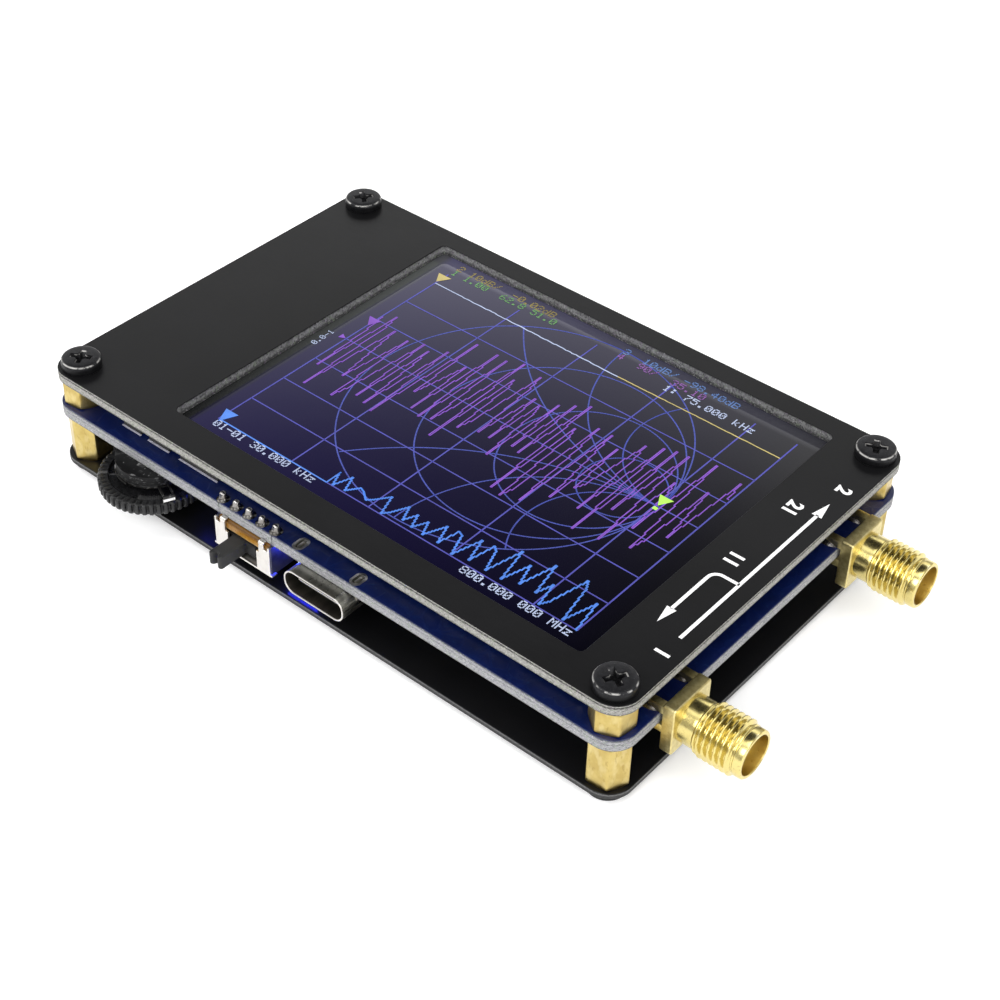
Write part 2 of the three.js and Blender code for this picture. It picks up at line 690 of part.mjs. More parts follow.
function usbTongue() {
  const back = USB_DEPTH - USB_WALL;
  const body = raised(usbShape(USB_WALL + SEAT_GAP), back - TONGUE_BLOCK, back, SHEET_ARC_STEPS);
  const blade = raised(
    roundedShape(TONGUE_WIDTH, back - TONGUE_RECESS, TONGUE_CORNER),
    -TONGUE_THICK / 2,
    TONGUE_THICK / 2,
    SHEET_ARC_STEPS,
  ).translate([0, (back + TONGUE_RECESS) / 2, 0]);
  const laid = body.rotate([-90, 0, 0]).add(blade);
  return laid.translate([USB_X, USB_FRONT, USB_BOTTOM + USB_HEIGHT / 2]);
}

// Slide switch: folded frame, laminate base, three terminals and the slider
function switchFrame() {
  const half = SWITCH_WIDTH / 2;
  const front = SWITCH_FRONT;
  const back = SWITCH_FRONT + SWITCH_DEPTH;
  const sheet = SWITCH_SHEET;
  const top = MAIN_BOTTOM - RUN_GAP;
  const shoulder = MAIN_BOTTOM - SWITCH_SHOULDER;
  const plateTop = MAIN_BOTTOM - SWITCH_BASE_THICK;
  const parts = [
    block([-half, front, SWITCH_BOTTOM], [half, front + sheet, plateTop]),
    block([-half, front, SWITCH_BOTTOM], [half, back, SWITCH_BOTTOM + sheet]),
  ];
  for (const side of [-1, 1]) {
    const outer = side * half;
    const inner = side * (half - sheet);
    const low = Math.min(outer, inner);
    const high = Math.max(outer, inner);
    parts.push(block([low, front, SWITCH_BOTTOM], [high, back, top]));
    const leg = SWITCH_LEG / 2;
    parts.push(block([low, PIN_Y - leg, SWITCH_BOTTOM], [high, PIN_Y + leg, PIN_TOP]));
    const tabLeft = side * SWITCH_TAB_SPREAD - SWITCH_TAB_WIDTH / 2;
    const tabRight = side * SWITCH_TAB_SPREAD + SWITCH_TAB_WIDTH / 2;
    const foot = side < 0 ? tabRight : tabLeft;
    const [left, right] = [Math.min(outer, foot), Math.max(outer, foot)];
    parts.push(block([left, front, SWITCH_BOTTOM], [right, front + sheet, shoulder]));
    parts.push(block([tabLeft, front, SWITCH_BOTTOM], [tabRight, front + sheet, MAIN_BOTTOM + sheet]));
    const fold = -HALF_WIDTH - SWITCH_TAB_EDGE_GAP;
    parts.push(block([tabLeft, front, MAIN_BOTTOM], [tabRight, fold, MAIN_BOTTOM + sheet]));
  }
  const reach = KNOB_WIDTH / 2 + KNOB_TRAVEL / 2 + SEAT_GAP;
  const rise = KNOB_HEIGHT / 2 + SEAT_GAP;
  const slot = block(
    [-reach, front - CUT_OVERRUN, SWITCH_BOTTOM + KNOB_RISE - rise],
    [reach, front + sheet + SEAT_GAP, SWITCH_BOTTOM + KNOB_RISE + rise],
  );
  return together(parts).subtract(slot).translate([SWITCH_X, 0, 0]);
}

function switchBase() {
  const half = SWITCH_WIDTH / 2 - SWITCH_SHEET;
  const front = SWITCH_FRONT + SWITCH_SHEET;
  const back = SWITCH_FRONT + SWITCH_DEPTH;
  const plate = block([-half, front, MAIN_BOTTOM - SWITCH_BASE_THICK], [half, back, MAIN_BOTTOM]);
  const holes = [-1, 0, 1].map((step) =>
    rod(step * SWITCH_PIN_PITCH, PIN_Y, PIN_HOLE, SWITCH_BOTTOM, MAIN_TOP, SMALL_SIDES));
  return without(plate, holes).translate([SWITCH_X, 0, 0]);
}

function switchPin() {
  const seat = MAIN_BOTTOM - SWITCH_BASE_THICK;
  return turned([
    [0, seat - SWITCH_PIN_HEAD_THICK],
    [SWITCH_PIN_HEAD, seat - SWITCH_PIN_HEAD_THICK],
    [SWITCH_PIN_HEAD, seat],
    [SWITCH_PIN_RADIUS, seat],
    [SWITCH_PIN_RADIUS, PIN_TOP],
    [0, PIN_TOP],
  ], SMALL_SIDES);
}

// The slider fills the frame behind the slot, and its knob comes out through the slot
function switchKnob() {
  const level = SWITCH_BOTTOM + KNOB_RISE;
  const rise = KNOB_HEIGHT / 2;
  const half = KNOB_WIDTH / 2;
  const front = SWITCH_FRONT + SWITCH_SHEET + SEAT_GAP;
  const back = SWITCH_FRONT + SWITCH_DEPTH - SLIDER_BACK_GAP;
  const low = SWITCH_BOTTOM + SWITCH_SHEET + SEAT_GAP;
  const high = MAIN_BOTTOM - SWITCH_BASE_THICK - SWITCH_PIN_HEAD_THICK - SEAT_GAP;
  const slider = block([-SLIDER_LENGTH / 2, front, low], [SLIDER_LENGTH / 2, back, high]);
  const tip = SWITCH_FRONT - KNOB_REACH;
  const stem = block([-half, tip, level - rise], [half, front + SEAT_GAP, level + rise]);
  const groove = rod(0, tip, KNOB_GROOVE, level - rise - CUT_OVERRUN, level + rise + CUT_OVERRUN, SMALL_SIDES);
  return together([slider, stem]).subtract(groove);
}

// Thumb wheel switch, drawn about the wheel's axis
function jogBase() {
  const shape = new THREE.Shape();
  shape.moveTo(JOG_BASE_RADIUS, JOG_BASE_BACK);
  shape.lineTo(-JOG_BASE_RADIUS, JOG_BASE_BACK);
  shape.lineTo(-JOG_BASE_RADIUS, 0);
  shape.absarc(0, 0, JOG_BASE_RADIUS, Math.PI, Math.PI * 2, false);
  shape.closePath();
  const body = raised(shape, JOG_BASE_BOTTOM, MAIN_BOTTOM, ARC_STEPS * 3);
  const half = JOG_TONGUE_WIDTH / 2 + RUN_GAP;
  const end = JOG_TONGUE_LENGTH / 2 + RUN_GAP;
  const guide = block(
    [-half, -end, JOG_BASE_BOTTOM - CUT_OVERRUN],
    [half, end + JOG_TRAVEL, MAIN_BOTTOM - JOG_ROOF],
  );
  return body.subtract(guide);
}

// The bracket is a ring under the body: its lip shows on the left, its open lug reaches over the wheel
function jogBracket() {
  const top = JOG_BASE_BOTTOM;
  const bottom = top - JOG_BRACKET_THICK;
  const ring = rod(0, 0, JOG_BASE_RADIUS - RUN_GAP, bottom, top, FINE_SIDES);
  const lip = new THREE.Shape();
  const [start, end] = JOG_BRACKET_LIP_SHARES.map((share) => share * Math.PI * 2);
  lip.moveTo(0, 0);
  lip.absarc(0, 0, JOG_BASE_RADIUS + JOG_BRACKET_LIP, start, end, false);
  lip.closePath();
  const half = JOG_LUG_WIDTH / 2;
  const arm = half - JOG_LUG_ARM;
  const reach = JOG_LUG_REACH;
  const fold = reach - JOG_LUG_ARM;
  const opening = block([JOG_BASE_RADIUS, -arm, bottom - CUT_OVERRUN], [fold, arm, top + CUT_OVERRUN]);
  const lug = block([0, -half, bottom], [reach, half, top])
    .add(block([fold, -half, top - JOG_LUG_DROP], [reach, half, top]))
    .subtract(opening)
    .rotate([0, 0, 360 * JOG_LUG_TURN_SHARE]);
  const bore = rod(0, 0, JOG_BRACKET_BORE, bottom - CUT_OVERRUN, top + CUT_OVERRUN);
  return together([ring, raised(lip, bottom, top), lug]).subtract(bore);
}

function jogCarrier() {
  const flangeTop = JOG_BASE_BOTTOM - RUN_GAP;
  const flangeBottom = JOG_WHEEL_TOP + RUN_GAP;
  const tongue = block(
    [-JOG_TONGUE_WIDTH / 2, -JOG_TONGUE_LENGTH / 2, flangeTop - RUN_GAP],
    [JOG_TONGUE_WIDTH / 2, JOG_TONGUE_LENGTH / 2, MAIN_BOTTOM - JOG_ROOF - RUN_GAP],
  );
  const flange = rod(0, 0, JOG_HUB_RADIUS, flangeBottom, flangeTop);
  const axle = rod(0, 0, JOG_AXLE_RADIUS, JOG_WHEEL_BOTTOM - SEAT_GAP, flangeTop);
  return together([tongue, flange, axle]);
}

function jogCap() {
  const top = JOG_WHEEL_BOTTOM - SEAT_GAP;
  return turned([
    [0, top - JOG_CAP_THICK],
    [JOG_CAP_RADIUS - JOG_CAP_BEVEL, top - JOG_CAP_THICK],
    [JOG_CAP_RADIUS, top - JOG_CAP_THICK + JOG_CAP_BEVEL],
    [JOG_CAP_RADIUS, top],
    [0, top],
  ]);
}

// The wheel is a ribbed outline, hollowed beside its web
function jogWheel() {
  const shape = new THREE.Shape();
  const pitch = Math.PI * 2 / JOG_RIBS;
  const points = [];
  for (let i = 0; i < JOG_RIBS; i += 1) {
    const half = pitch * JOG_RIB_SHARE / 2;
    const foot = pitch * (1 - JOG_RIB_SHARE) / 2;
    const middle = i * pitch;
    for (const [angle, radius] of [
      [middle - half, JOG_WHEEL_RADIUS],
      [middle + half, JOG_WHEEL_RADIUS],
      [middle + half + foot, JOG_WHEEL_RADIUS - JOG_RIB_DEPTH],
    ]) points.push(new THREE.Vector2(Math.cos(angle) * radius, Math.sin(angle) * radius));
  }
  shape.setFromPoints(points);
  const bottom = JOG_WHEEL_BOTTOM;
  const top = JOG_WHEEL_TOP;
  const ribbed = raised(shape, bottom, top);
  const inner = JOG_WHEEL_RADIUS - JOG_RIM;
  const hollow = (JOG_WHEEL_THICK - JOG_WEB_THICK) / 2;
  const trough = (from, to) =>
    rod(0, 0, inner, from, to, FINE_SIDES).subtract(rod(0, 0, JOG_HUB_RADIUS, from, to));
  const notch = new THREE.Shape();
  const start = (JOG_NOTCH_TURN_SHARE - JOG_NOTCH_SPAN_SHARE) * Math.PI * 2;
  const end = (JOG_NOTCH_TURN_SHARE + JOG_NOTCH_SPAN_SHARE) * Math.PI * 2;
  notch.absarc(0, 0, inner - SEAT_GAP, start, end, false);
  notch.absarc(0, 0, JOG_BASE_RADIUS - SEAT_GAP, end, start, true);
  notch.closePath();
  return without(ribbed, [
    trough(bottom - CUT_OVERRUN, bottom + hollow),
    trough(top - hollow, top + CUT_OVERRUN),
    rod(0, 0, JOG_AXLE_RADIUS + RUN_GAP, bottom - CUT_OVERRUN, top + CUT_OVERRUN),
    raised(notch, bottom - CUT_OVERRUN, top + CUT_OVERRUN),
  ]);
}

// Battery: a soft-edged pouch with a thinner terrace where the leads come out
function battery() {
  const shape = roundedShape(CELL_WIDTH, CELL_THICK, CELL_EDGE);
  const pouch = raised(shape, -CELL_LENGTH / 2, CELL_LENGTH / 2 - CELL_TERRACE, ARC_STEPS / 2);
  const round = CELL_TERRACE_THICK / 2 - RUN_GAP;
  const flap = roundedShape(CELL_WIDTH * CELL_TERRACE_SHARE, CELL_TERRACE_THICK, round);
  const terrace = raised(flap, CELL_LENGTH / 2 - CELL_TERRACE - SEAT_GAP, CELL_LENGTH / 2, ARC_STEPS / 2);
  const laid = pouch.add(terrace).rotate([90, 0, 90]);
  return laid.translate([CELL_X, CELL_Y, CELL_TOP - CELL_THICK / 2]);
}

function batteryTape() {
  const x = CELL_LENGTH / 2 - CELL_TAPE_INSET;
  const y = CELL_WIDTH / 2 - CELL_TAPE_INSET;
  return block([CELL_X - x, CELL_Y - y, CELL_TOP], [CELL_X + x, CELL_Y + y, MAIN_BOTTOM]);
}

// Each lead runs straight out of the terrace, turns along +Y and goes straight into the plug
function batteryLead(step) {
  const from = new THREE.Vector3(CELL_END, CELL_Y + CELL_WIDTH * LEAD_EXIT_SHARE - step * LEAD_PITCH,
    CELL_TOP - CELL_THICK / 2);
  const to = new THREE.Vector3(PLUG_X + step * LEAD_PITCH, PLUG_Y - PLUG_LENGTH / 2,
    PLUG_TOP - PLUG_HEIGHT / 2);
  const leave = new THREE.Vector3(to.x, from.y, from.z);
  const arrive = new THREE.Vector3(to.x, (from.y + to.y) / 2, to.z);
  const path = new THREE.CubicBezierCurve3(from, leave, arrive, to);
  const section = new THREE.Shape();
  section.absarc(0, 0, LEAD_RADIUS, 0, Math.PI * 2, false);
  const geometry = new THREE.ExtrudeGeometry(section, {
    steps: LEAD_STEPS,
    curveSegments: LEAD_ARC_STEPS,
    extrudePath: path,
  });
  return solidOf(geometry);
}

function batterySocket() {
  const half = SOCKET_WIDTH / 2;
  const back = PLUG_Y + SOCKET_LENGTH;
  const bottom = MAIN_BOTTOM - SOCKET_HEIGHT;
  const outer = block([PLUG_X - half, PLUG_Y, bottom], [PLUG_X + half, back, MAIN_BOTTOM]);
  const x = PLUG_WIDTH / 2 + SEAT_GAP;
  const low = PLUG_TOP - PLUG_HEIGHT - SEAT_GAP;
  const high = PLUG_TOP + RUN_GAP;
  const end = PLUG_Y + PLUG_LENGTH / 2;
  const inner = block([PLUG_X - x, PLUG_Y - CUT_OVERRUN, low], [PLUG_X + x, end, high]);
  return outer.subtract(inner);
}

function batteryPlug() {
  const half = PLUG_WIDTH / 2;
  const reach = PLUG_LENGTH / 2;
  const low = PLUG_TOP - PLUG_HEIGHT;
  const body = block([PLUG_X - half, PLUG_Y - reach, low], [PLUG_X + half, PLUG_Y + reach, PLUG_TOP]);
  const ridge = block(
    [PLUG_X - half - PLUG_RIDGE, PLUG_Y - reach, low],
    [PLUG_X + half + PLUG_RIDGE, PLUG_Y - reach / 2, PLUG_TOP],
  );
  return body.add(ridge);
}

// Screening can, open towards the board, with notches along its rim
function shieldCan() {
  const bottom = MAIN_BOTTOM - CAN_HEIGHT;
  const outline = roundedShape(CAN_LENGTH, CAN_WIDTH, CAN_CORNER);
  const outer = raised(outline, bottom, MAIN_BOTTOM, SHEET_ARC_STEPS);
  const inner = raised(
    roundedShape(CAN_LENGTH - 2 * CAN_WALL, CAN_WIDTH - 2 * CAN_WALL, CAN_CORNER - CAN_WALL),
    bottom + CAN_WALL,
    MAIN_BOTTOM + CUT_OVERRUN,
    SHEET_ARC_STEPS,
  );
  const half = CAN_NOTCH / 2;
  const rim = MAIN_BOTTOM - CAN_NOTCH_HEIGHT;
  const notches = [
    block([-CAN_LENGTH, -half, rim], [CAN_LENGTH, half, MAIN_BOTTOM + CUT_OVERRUN]),
    block([-half, -CAN_WIDTH, rim], [half, CAN_WIDTH, MAIN_BOTTOM + CUT_OVERRUN]),
  ];
  return without(outer.subtract(inner), notches).translate([CAN_X, CAN_Y, 0]);
}

// A moulded package under the board; feet leave two or four of its sides
function chipBody(length, width, height, lift) {
  const bottom = MAIN_BOTTOM - height;
  const top = MAIN_BOTTOM - lift;
  const full = block([-length / 2, -width / 2, bottom], [length / 2, width / 2, top]);
  const bevel = PACKAGE_BEVEL;
  const dot = rod(-length / 2 + 3 * bevel, -width / 2 + 3 * bevel, bevel, bottom - CUT_OVERRUN,
    bottom + bevel / 2, SMALL_SIDES);
  return full.subtract(dot);
}

// A row of feet along +Y of an edge: each slopes from the body to the board and ends flat on it
function footRow(count, pitch, edge, height) {
  const level = MAIN_BOTTOM - height / 2;
  const knee = edge + FOOT_SHOULDER;
  const shape = new THREE.Shape([
    [edge - FOOT_THICK, level - FOOT_THICK],
    [knee, MAIN_BOTTOM - FOOT_THICK],
    [edge + FOOT_REACH, MAIN_BOTTOM - FOOT_THICK],
    [edge + FOOT_REACH, MAIN_BOTTOM],
    [knee - FOOT_THICK, MAIN_BOTTOM],
    [edge - FOOT_THICK, level],
  ].map(([y, z]) => new THREE.Vector2(y, z)));
  const foot = raised(shape, -FOOT_WIDTH / 2, FOOT_WIDTH / 2).rotate([90, 0, 90]);
  const feet = [];
  for (let i = 0; i < count; i += 1) feet.push(foot.translate([(i - (count - 1) / 2) * pitch, 0, 0]));
  return together(feet);
}

function chip(length, width, height, count, pitch, turns) {
  const parts = [chipBody(length, width, height, CHIP_LIFT)];
  for (const turn of turns) {
    const edge = turn % 2 === 0 ? width / 2 : length / 2;
    parts.push(footRow(count, pitch, edge, height).rotate([0, 0, 90 * turn]));
  }
  return together(parts);
}

function squarePackage(length, width, height) {
  return chipBody(length, width, height, 0);
}

function crystalCan() {
  const bottom = MAIN_BOTTOM - CRYSTAL_HEIGHT;
  const bevel = PACKAGE_BEVEL;
  const outline = roundedShape(CRYSTAL_LENGTH, CRYSTAL_WIDTH, bevel);
  const foot = raised(outline, MAIN_BOTTOM - bevel, MAIN_BOTTOM, 2);
  const lid = roundedShape(CRYSTAL_LENGTH - 2 * bevel, CRYSTAL_WIDTH - 2 * bevel, 2 * bevel);
  return foot.add(raised(lid, bottom, MAIN_BOTTOM, 2));
}

function powerCoil() {
  const bottom = MAIN_BOTTOM - COIL_HEIGHT;
  const side = COIL_SIDE;
  const flange = roundedShape(side, side, 3 * PACKAGE_BEVEL);
  const plates = raised(flange, bottom, bottom + 2 * PACKAGE_BEVEL, 2)
    .add(raised(flange, MAIN_BOTTOM - 2 * PACKAGE_BEVEL, MAIN_BOTTOM, 2));
  return plates.add(rod(0, 0, side / 2 - PACKAGE_BEVEL, bottom, MAIN_BOTTOM));
}

// Assembly
const analyzer = new THREE.Group();

function addBoards(parent) {
  piece(parent, 'top_cover', topCover(), BLACK_MASK);
  piece(parent, 'main_board', mainBoard(), BLUE_MASK);
  piece(parent, 'bottom_cover', bottomCover(), BLACK_MASK);
}

function addFasteners(parent) {
  const coverScrew = screw(HEAD_RIM, HEAD_HEIGHT, COVER_THICK + SHANK_REACH);
  const baseScrew = screw(BASE_HEAD_RIM, BASE_HEAD_HEIGHT, BASE_THICK + SHANK_REACH);
  const upper = upperStandoff();
  const lower = lowerStandoff();
  CORNER_PLACES.forEach(([x, y], i) => {
    const crossTurn = CROSS_TURN_SHARES[i] * Math.PI / 2;
    const upperTurn = UPPER_TURN_SHARES[i] * Math.PI / 3;
    const lowerTurn = LOWER_TURN_SHARES[i] * Math.PI / 3;
    piece(parent, `cover_screw_${i + 1}`, coverScrew, BLACK_STEEL, [x, y, COVER_TOP], crossTurn);
    const below = piece(parent, `base_screw_${i + 1}`, baseScrew, BLACK_STEEL, [x, y, 0], -crossTurn);
    below.rotation.x = Math.PI;
    piece(parent, `upper_standoff_${i + 1}`, upper, BRASS, [x, y, MAIN_TOP], upperTurn);
    piece(parent, `lower_standoff_${i + 1}`, lower, BRASS, [x, y, BASE_THICK], lowerTurn);
  });
}

function addDisplay(parent) {
  piece(parent, 'lcd_frame', lcdFrame(), TRAY, [LCD_X, LCD_Y, 0]);
  piece(parent, 'lcd_glass', lcdGlass(), GLASS, [LCD_X, LCD_Y, 0]);
  piece(parent, 'lcd_flex', lcdFlex(), AMBER_FILM);
  [-1, 1].forEach((side, i) => {
    piece(parent, `lcd_tape_${i + 1}`, lcdTape(), FOAM, [LCD_X, LCD_Y + side * TAPE_Y, 0]);
  });
}

function addPorts(parent) {
  PORT_Y_PLACES.forEach((y, i) => {
    const port = new THREE.Group();
    port.position.set(PORT_X, y, PORT_Z);
    port.rotation.y = Math.PI / 2;
    piece(port, `port_shell_${i + 1}`, portShell(), GOLD);
    piece(port, `port_insulator_${i + 1}`, portInsulator(), WHITE_RESIN);
    piece(port, `port_contact_${i + 1}`, portContact(), GOLD);
    parent.add(port);
  });
}

function addEdgeControls(parent) {
  piece(parent, 'usb_shell', usbShell(), STEEL);
  piece(parent, 'usb_tongue', usbTongue(), BLACK_RESIN);
  piece(parent, 'switch_frame', switchFrame(), NICKEL);
  piece(parent, 'switch_base', switchBase(), LAMINATE);
  [-1, 0, 1].forEach((step, i) => {
    const x = SWITCH_X + step * SWITCH_PIN_PITCH;
    piece(parent, `switch_pin_${i + 1}`, switchPin(), NICKEL, [x, PIN_Y, 0]);
  });
  piece(parent, 'switch_knob', switchKnob(), BLACK_RESIN, [SWITCH_X - KNOB_TRAVEL / 2, 0, 0]);
}

function addThumbWheel(parent) {
  const jog = new THREE.Group();
  jog.position.set(JOG_X, JOG_Y, 0);
  piece(jog, 'jog_base', jogBase(), BLACK_RESIN);
  piece(jog, 'jog_bracket', jogBracket(), NICKEL);
  piece(jog, 'jog_carrier', jogCarrier(), BLACK_RESIN);
  piece(jog, 'jog_wheel', jogWheel(), BLACK_RESIN);
  piece(jog, 'jog_cap', jogCap(), BLACK_RESIN);
  parent.add(jog);
}

function addPower(parent) {
  piece(parent, 'battery', battery(), FOIL);
  piece(parent, 'battery_tape', batteryTape(), FOAM);
  piece(parent, 'battery_lead_pos', batteryLead(-LEAD_SIDE_SHARE), RED_SLEEVE);
  piece(parent, 'battery_lead_neg', batteryLead(LEAD_SIDE_SHARE), BLACK_SLEEVE);
  piece(parent, 'battery_plug', batteryPlug(), WHITE_RESIN);
  piece(parent, 'battery_socket', batterySocket(), WHITE_RESIN);
}

function addPackages(parent) {
  piece(parent, 'shield_can', shieldCan(), STEEL);
  const mixer = chip(MIXER_LENGTH, MIXER_WIDTH, MIXER_HEIGHT, MIXER_PINS, MIXER_PITCH, [0, 2]);
  MIXER_PLACE_SHARES.forEach((share, i) => {
    piece(parent, `mixer_chip_${i + 1}`, mixer, BLACK_RESIN, [CAN_X, CAN_Y + share * CAN_WIDTH, 0]);
  });
  const processor = chip(PROCESSOR_SIDE, PROCESSOR_SIDE, PROCESSOR_HEIGHT, PROCESSOR_PINS,
    PROCESSOR_PITCH, [0, 1, 2, 3]);
  piece(parent, 'processor_chip', processor, BLACK_RESIN, [PROCESSOR_X, PROCESSOR_Y, 0]);
  const codec = squarePackage(CODEC_SIDE, CODEC_SIDE, CODEC_HEIGHT);
  piece(parent, 'codec_chip', codec, BLACK_RESIN, [CODEC_X, CODEC_Y, 0]);
  const clock = chip(CLOCK_SIDE, CLOCK_SIDE, CLOCK_HEIGHT, CLOCK_PINS, CLOCK_PITCH, [0, 2]);
  piece(parent, 'clock_chip', clock, BLACK_RESIN, [CLOCK_X, CLOCK_Y, 0]);
  const charger = chip(CHARGER_LENGTH, CHARGER_WIDTH, CHARGER_HEIGHT, CHARGER_PINS, CHARGER_PITCH, [0, 2]);
  piece(parent, 'charger_chip', charger, BLACK_RESIN, [CHARGER_X, CHARGER_Y, 0]);
  piece(parent, 'crystal_can', crystalCan(), NICKEL, [CRYSTAL_X, CRYSTAL_Y, 0]);
  piece(parent, 'power_coil', powerCoil(), BLACK_RESIN, [COIL_X, COIL_Y, 0]);
  const led = squarePackage(LED_LENGTH, LED_WIDTH, LED_HEIGHT);
  piece(parent, 'status_led', led, BLUE_LAMP, [LED_X, LED_Y, 0]);
}

addBoards(analyzer);
addFasteners(analyzer);
addDisplay(analyzer);
addPorts(analyzer);
addEdgeControls(analyzer);
addThumbWheel(analyzer);
addPower(analyzer);
addPackages(analyzer);

export default analyzer;
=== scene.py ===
import math
import random

import bmesh
import bpy
from mathutils import Matrix, Vector
from mathutils.geometry import tessellate_polygon


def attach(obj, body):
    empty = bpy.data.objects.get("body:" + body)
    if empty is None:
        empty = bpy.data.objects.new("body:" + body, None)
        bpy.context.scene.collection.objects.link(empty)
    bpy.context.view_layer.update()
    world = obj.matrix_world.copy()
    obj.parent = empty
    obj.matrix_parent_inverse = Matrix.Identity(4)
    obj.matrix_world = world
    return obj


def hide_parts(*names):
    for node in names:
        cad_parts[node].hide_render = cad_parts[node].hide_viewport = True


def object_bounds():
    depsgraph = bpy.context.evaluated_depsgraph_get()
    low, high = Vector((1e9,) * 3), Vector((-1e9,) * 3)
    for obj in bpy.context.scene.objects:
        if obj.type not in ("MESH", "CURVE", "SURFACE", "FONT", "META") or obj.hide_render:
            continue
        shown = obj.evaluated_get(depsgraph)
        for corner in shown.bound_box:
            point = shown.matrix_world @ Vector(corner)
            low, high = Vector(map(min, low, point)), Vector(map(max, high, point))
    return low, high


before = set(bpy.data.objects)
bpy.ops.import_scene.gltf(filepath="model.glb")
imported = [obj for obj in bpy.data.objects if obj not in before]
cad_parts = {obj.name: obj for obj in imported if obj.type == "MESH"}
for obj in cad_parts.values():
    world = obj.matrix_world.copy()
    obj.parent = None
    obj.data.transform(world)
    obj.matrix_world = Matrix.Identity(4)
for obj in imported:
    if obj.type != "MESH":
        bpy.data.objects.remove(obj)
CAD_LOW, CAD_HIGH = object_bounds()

# Lengths are in millimetres in the frame of the CAD, and Build.make turns them into metres.
# The floor and the softboxes of the studio are in metres.
MM = 0.001
STACK = "board_stack"
LENGTH, WIDTH, CORNER = 85.5, 54.2, 3.0
BASE_TOP, MAIN_LOW, MAIN_TOP, COVER_LOW, COVER_TOP = 0.8, 7.1, 8.7, 12.2, 13.6
SCREWS = [(39.8, -24.25), (-39.8, -24.25), (-39.8, 24.25), (39.8, 24.25)]
BORE = 1.5
WINDOW = (4.6, 0.6, 59.8, 46.9, 0.7)

PORTS = [-17.15, 16.0]
PORT_X, PORT_Z = 43.1, 6.8
PORT_LEG = 2.65
FLANGE = (41.0, 44.75)

USB_X, USB_FRONT, USB_DEPTH = 2.3, -28.75, 7.35
USB_LENGTH, USB_HEIGHT = 8.94, 3.26
USB_TAB_X, USB_TAB_YS = 4.32, (-26.0, -21.82)

SWITCH_X, SWITCH_FRONT = -9.75, -27.8
PIN_Y, PIN_STEP, SWITCH_LEG = -26.35, 2.05, 4.2
JOG = (-27.45, -25.1)

# The display: places of its grid's lines, their width, and the pitch of the panel's dots
SCREEN_Z = COVER_LOW
GRID_X = [-21.64, -9.8, 2.05, 13.9, 25.5, 31.32]
GRID_Y = [18.14, 12.68, 7.3, 1.82, -3.55, -8.91, -14.2, -19.5]
LINE, DOT = 0.17, 0.18


def at(x, y, z, turn=0.0, about="Z"):
    """A place, with a turn about one axis."""
    place = Matrix.Translation((x, y, z))
    return place @ Matrix.Rotation(turn, 4, about) if turn else place


def new_object(name, data):
    obj = bpy.data.objects.new(name, data)
    bpy.context.scene.collection.objects.link(obj)
    return obj


# Camera
def place_camera():
    centre = Vector((116.296, -137.418, 152.392)) * MM
    right = Vector((0.76644, 0.64177, 0.02643))
    down = Vector((0.41534, -0.46380, -0.78255))
    ahead = Vector((-0.48996, 0.61075, -0.62203))
    data = bpy.data.cameras.new("photo_camera")
    data.lens, data.sensor_width = 70.554, 36.0
    data.shift_x, data.shift_y = -0.01015, -0.06186
    data.clip_start, data.clip_end = 0.01, 20.0
    cam = new_object("photo_camera", data)
    turn = Matrix((right, -down, -ahead)).transposed().to_4x4()
    cam.matrix_world = Matrix.Translation(centre) @ turn
    bpy.context.scene.camera = cam


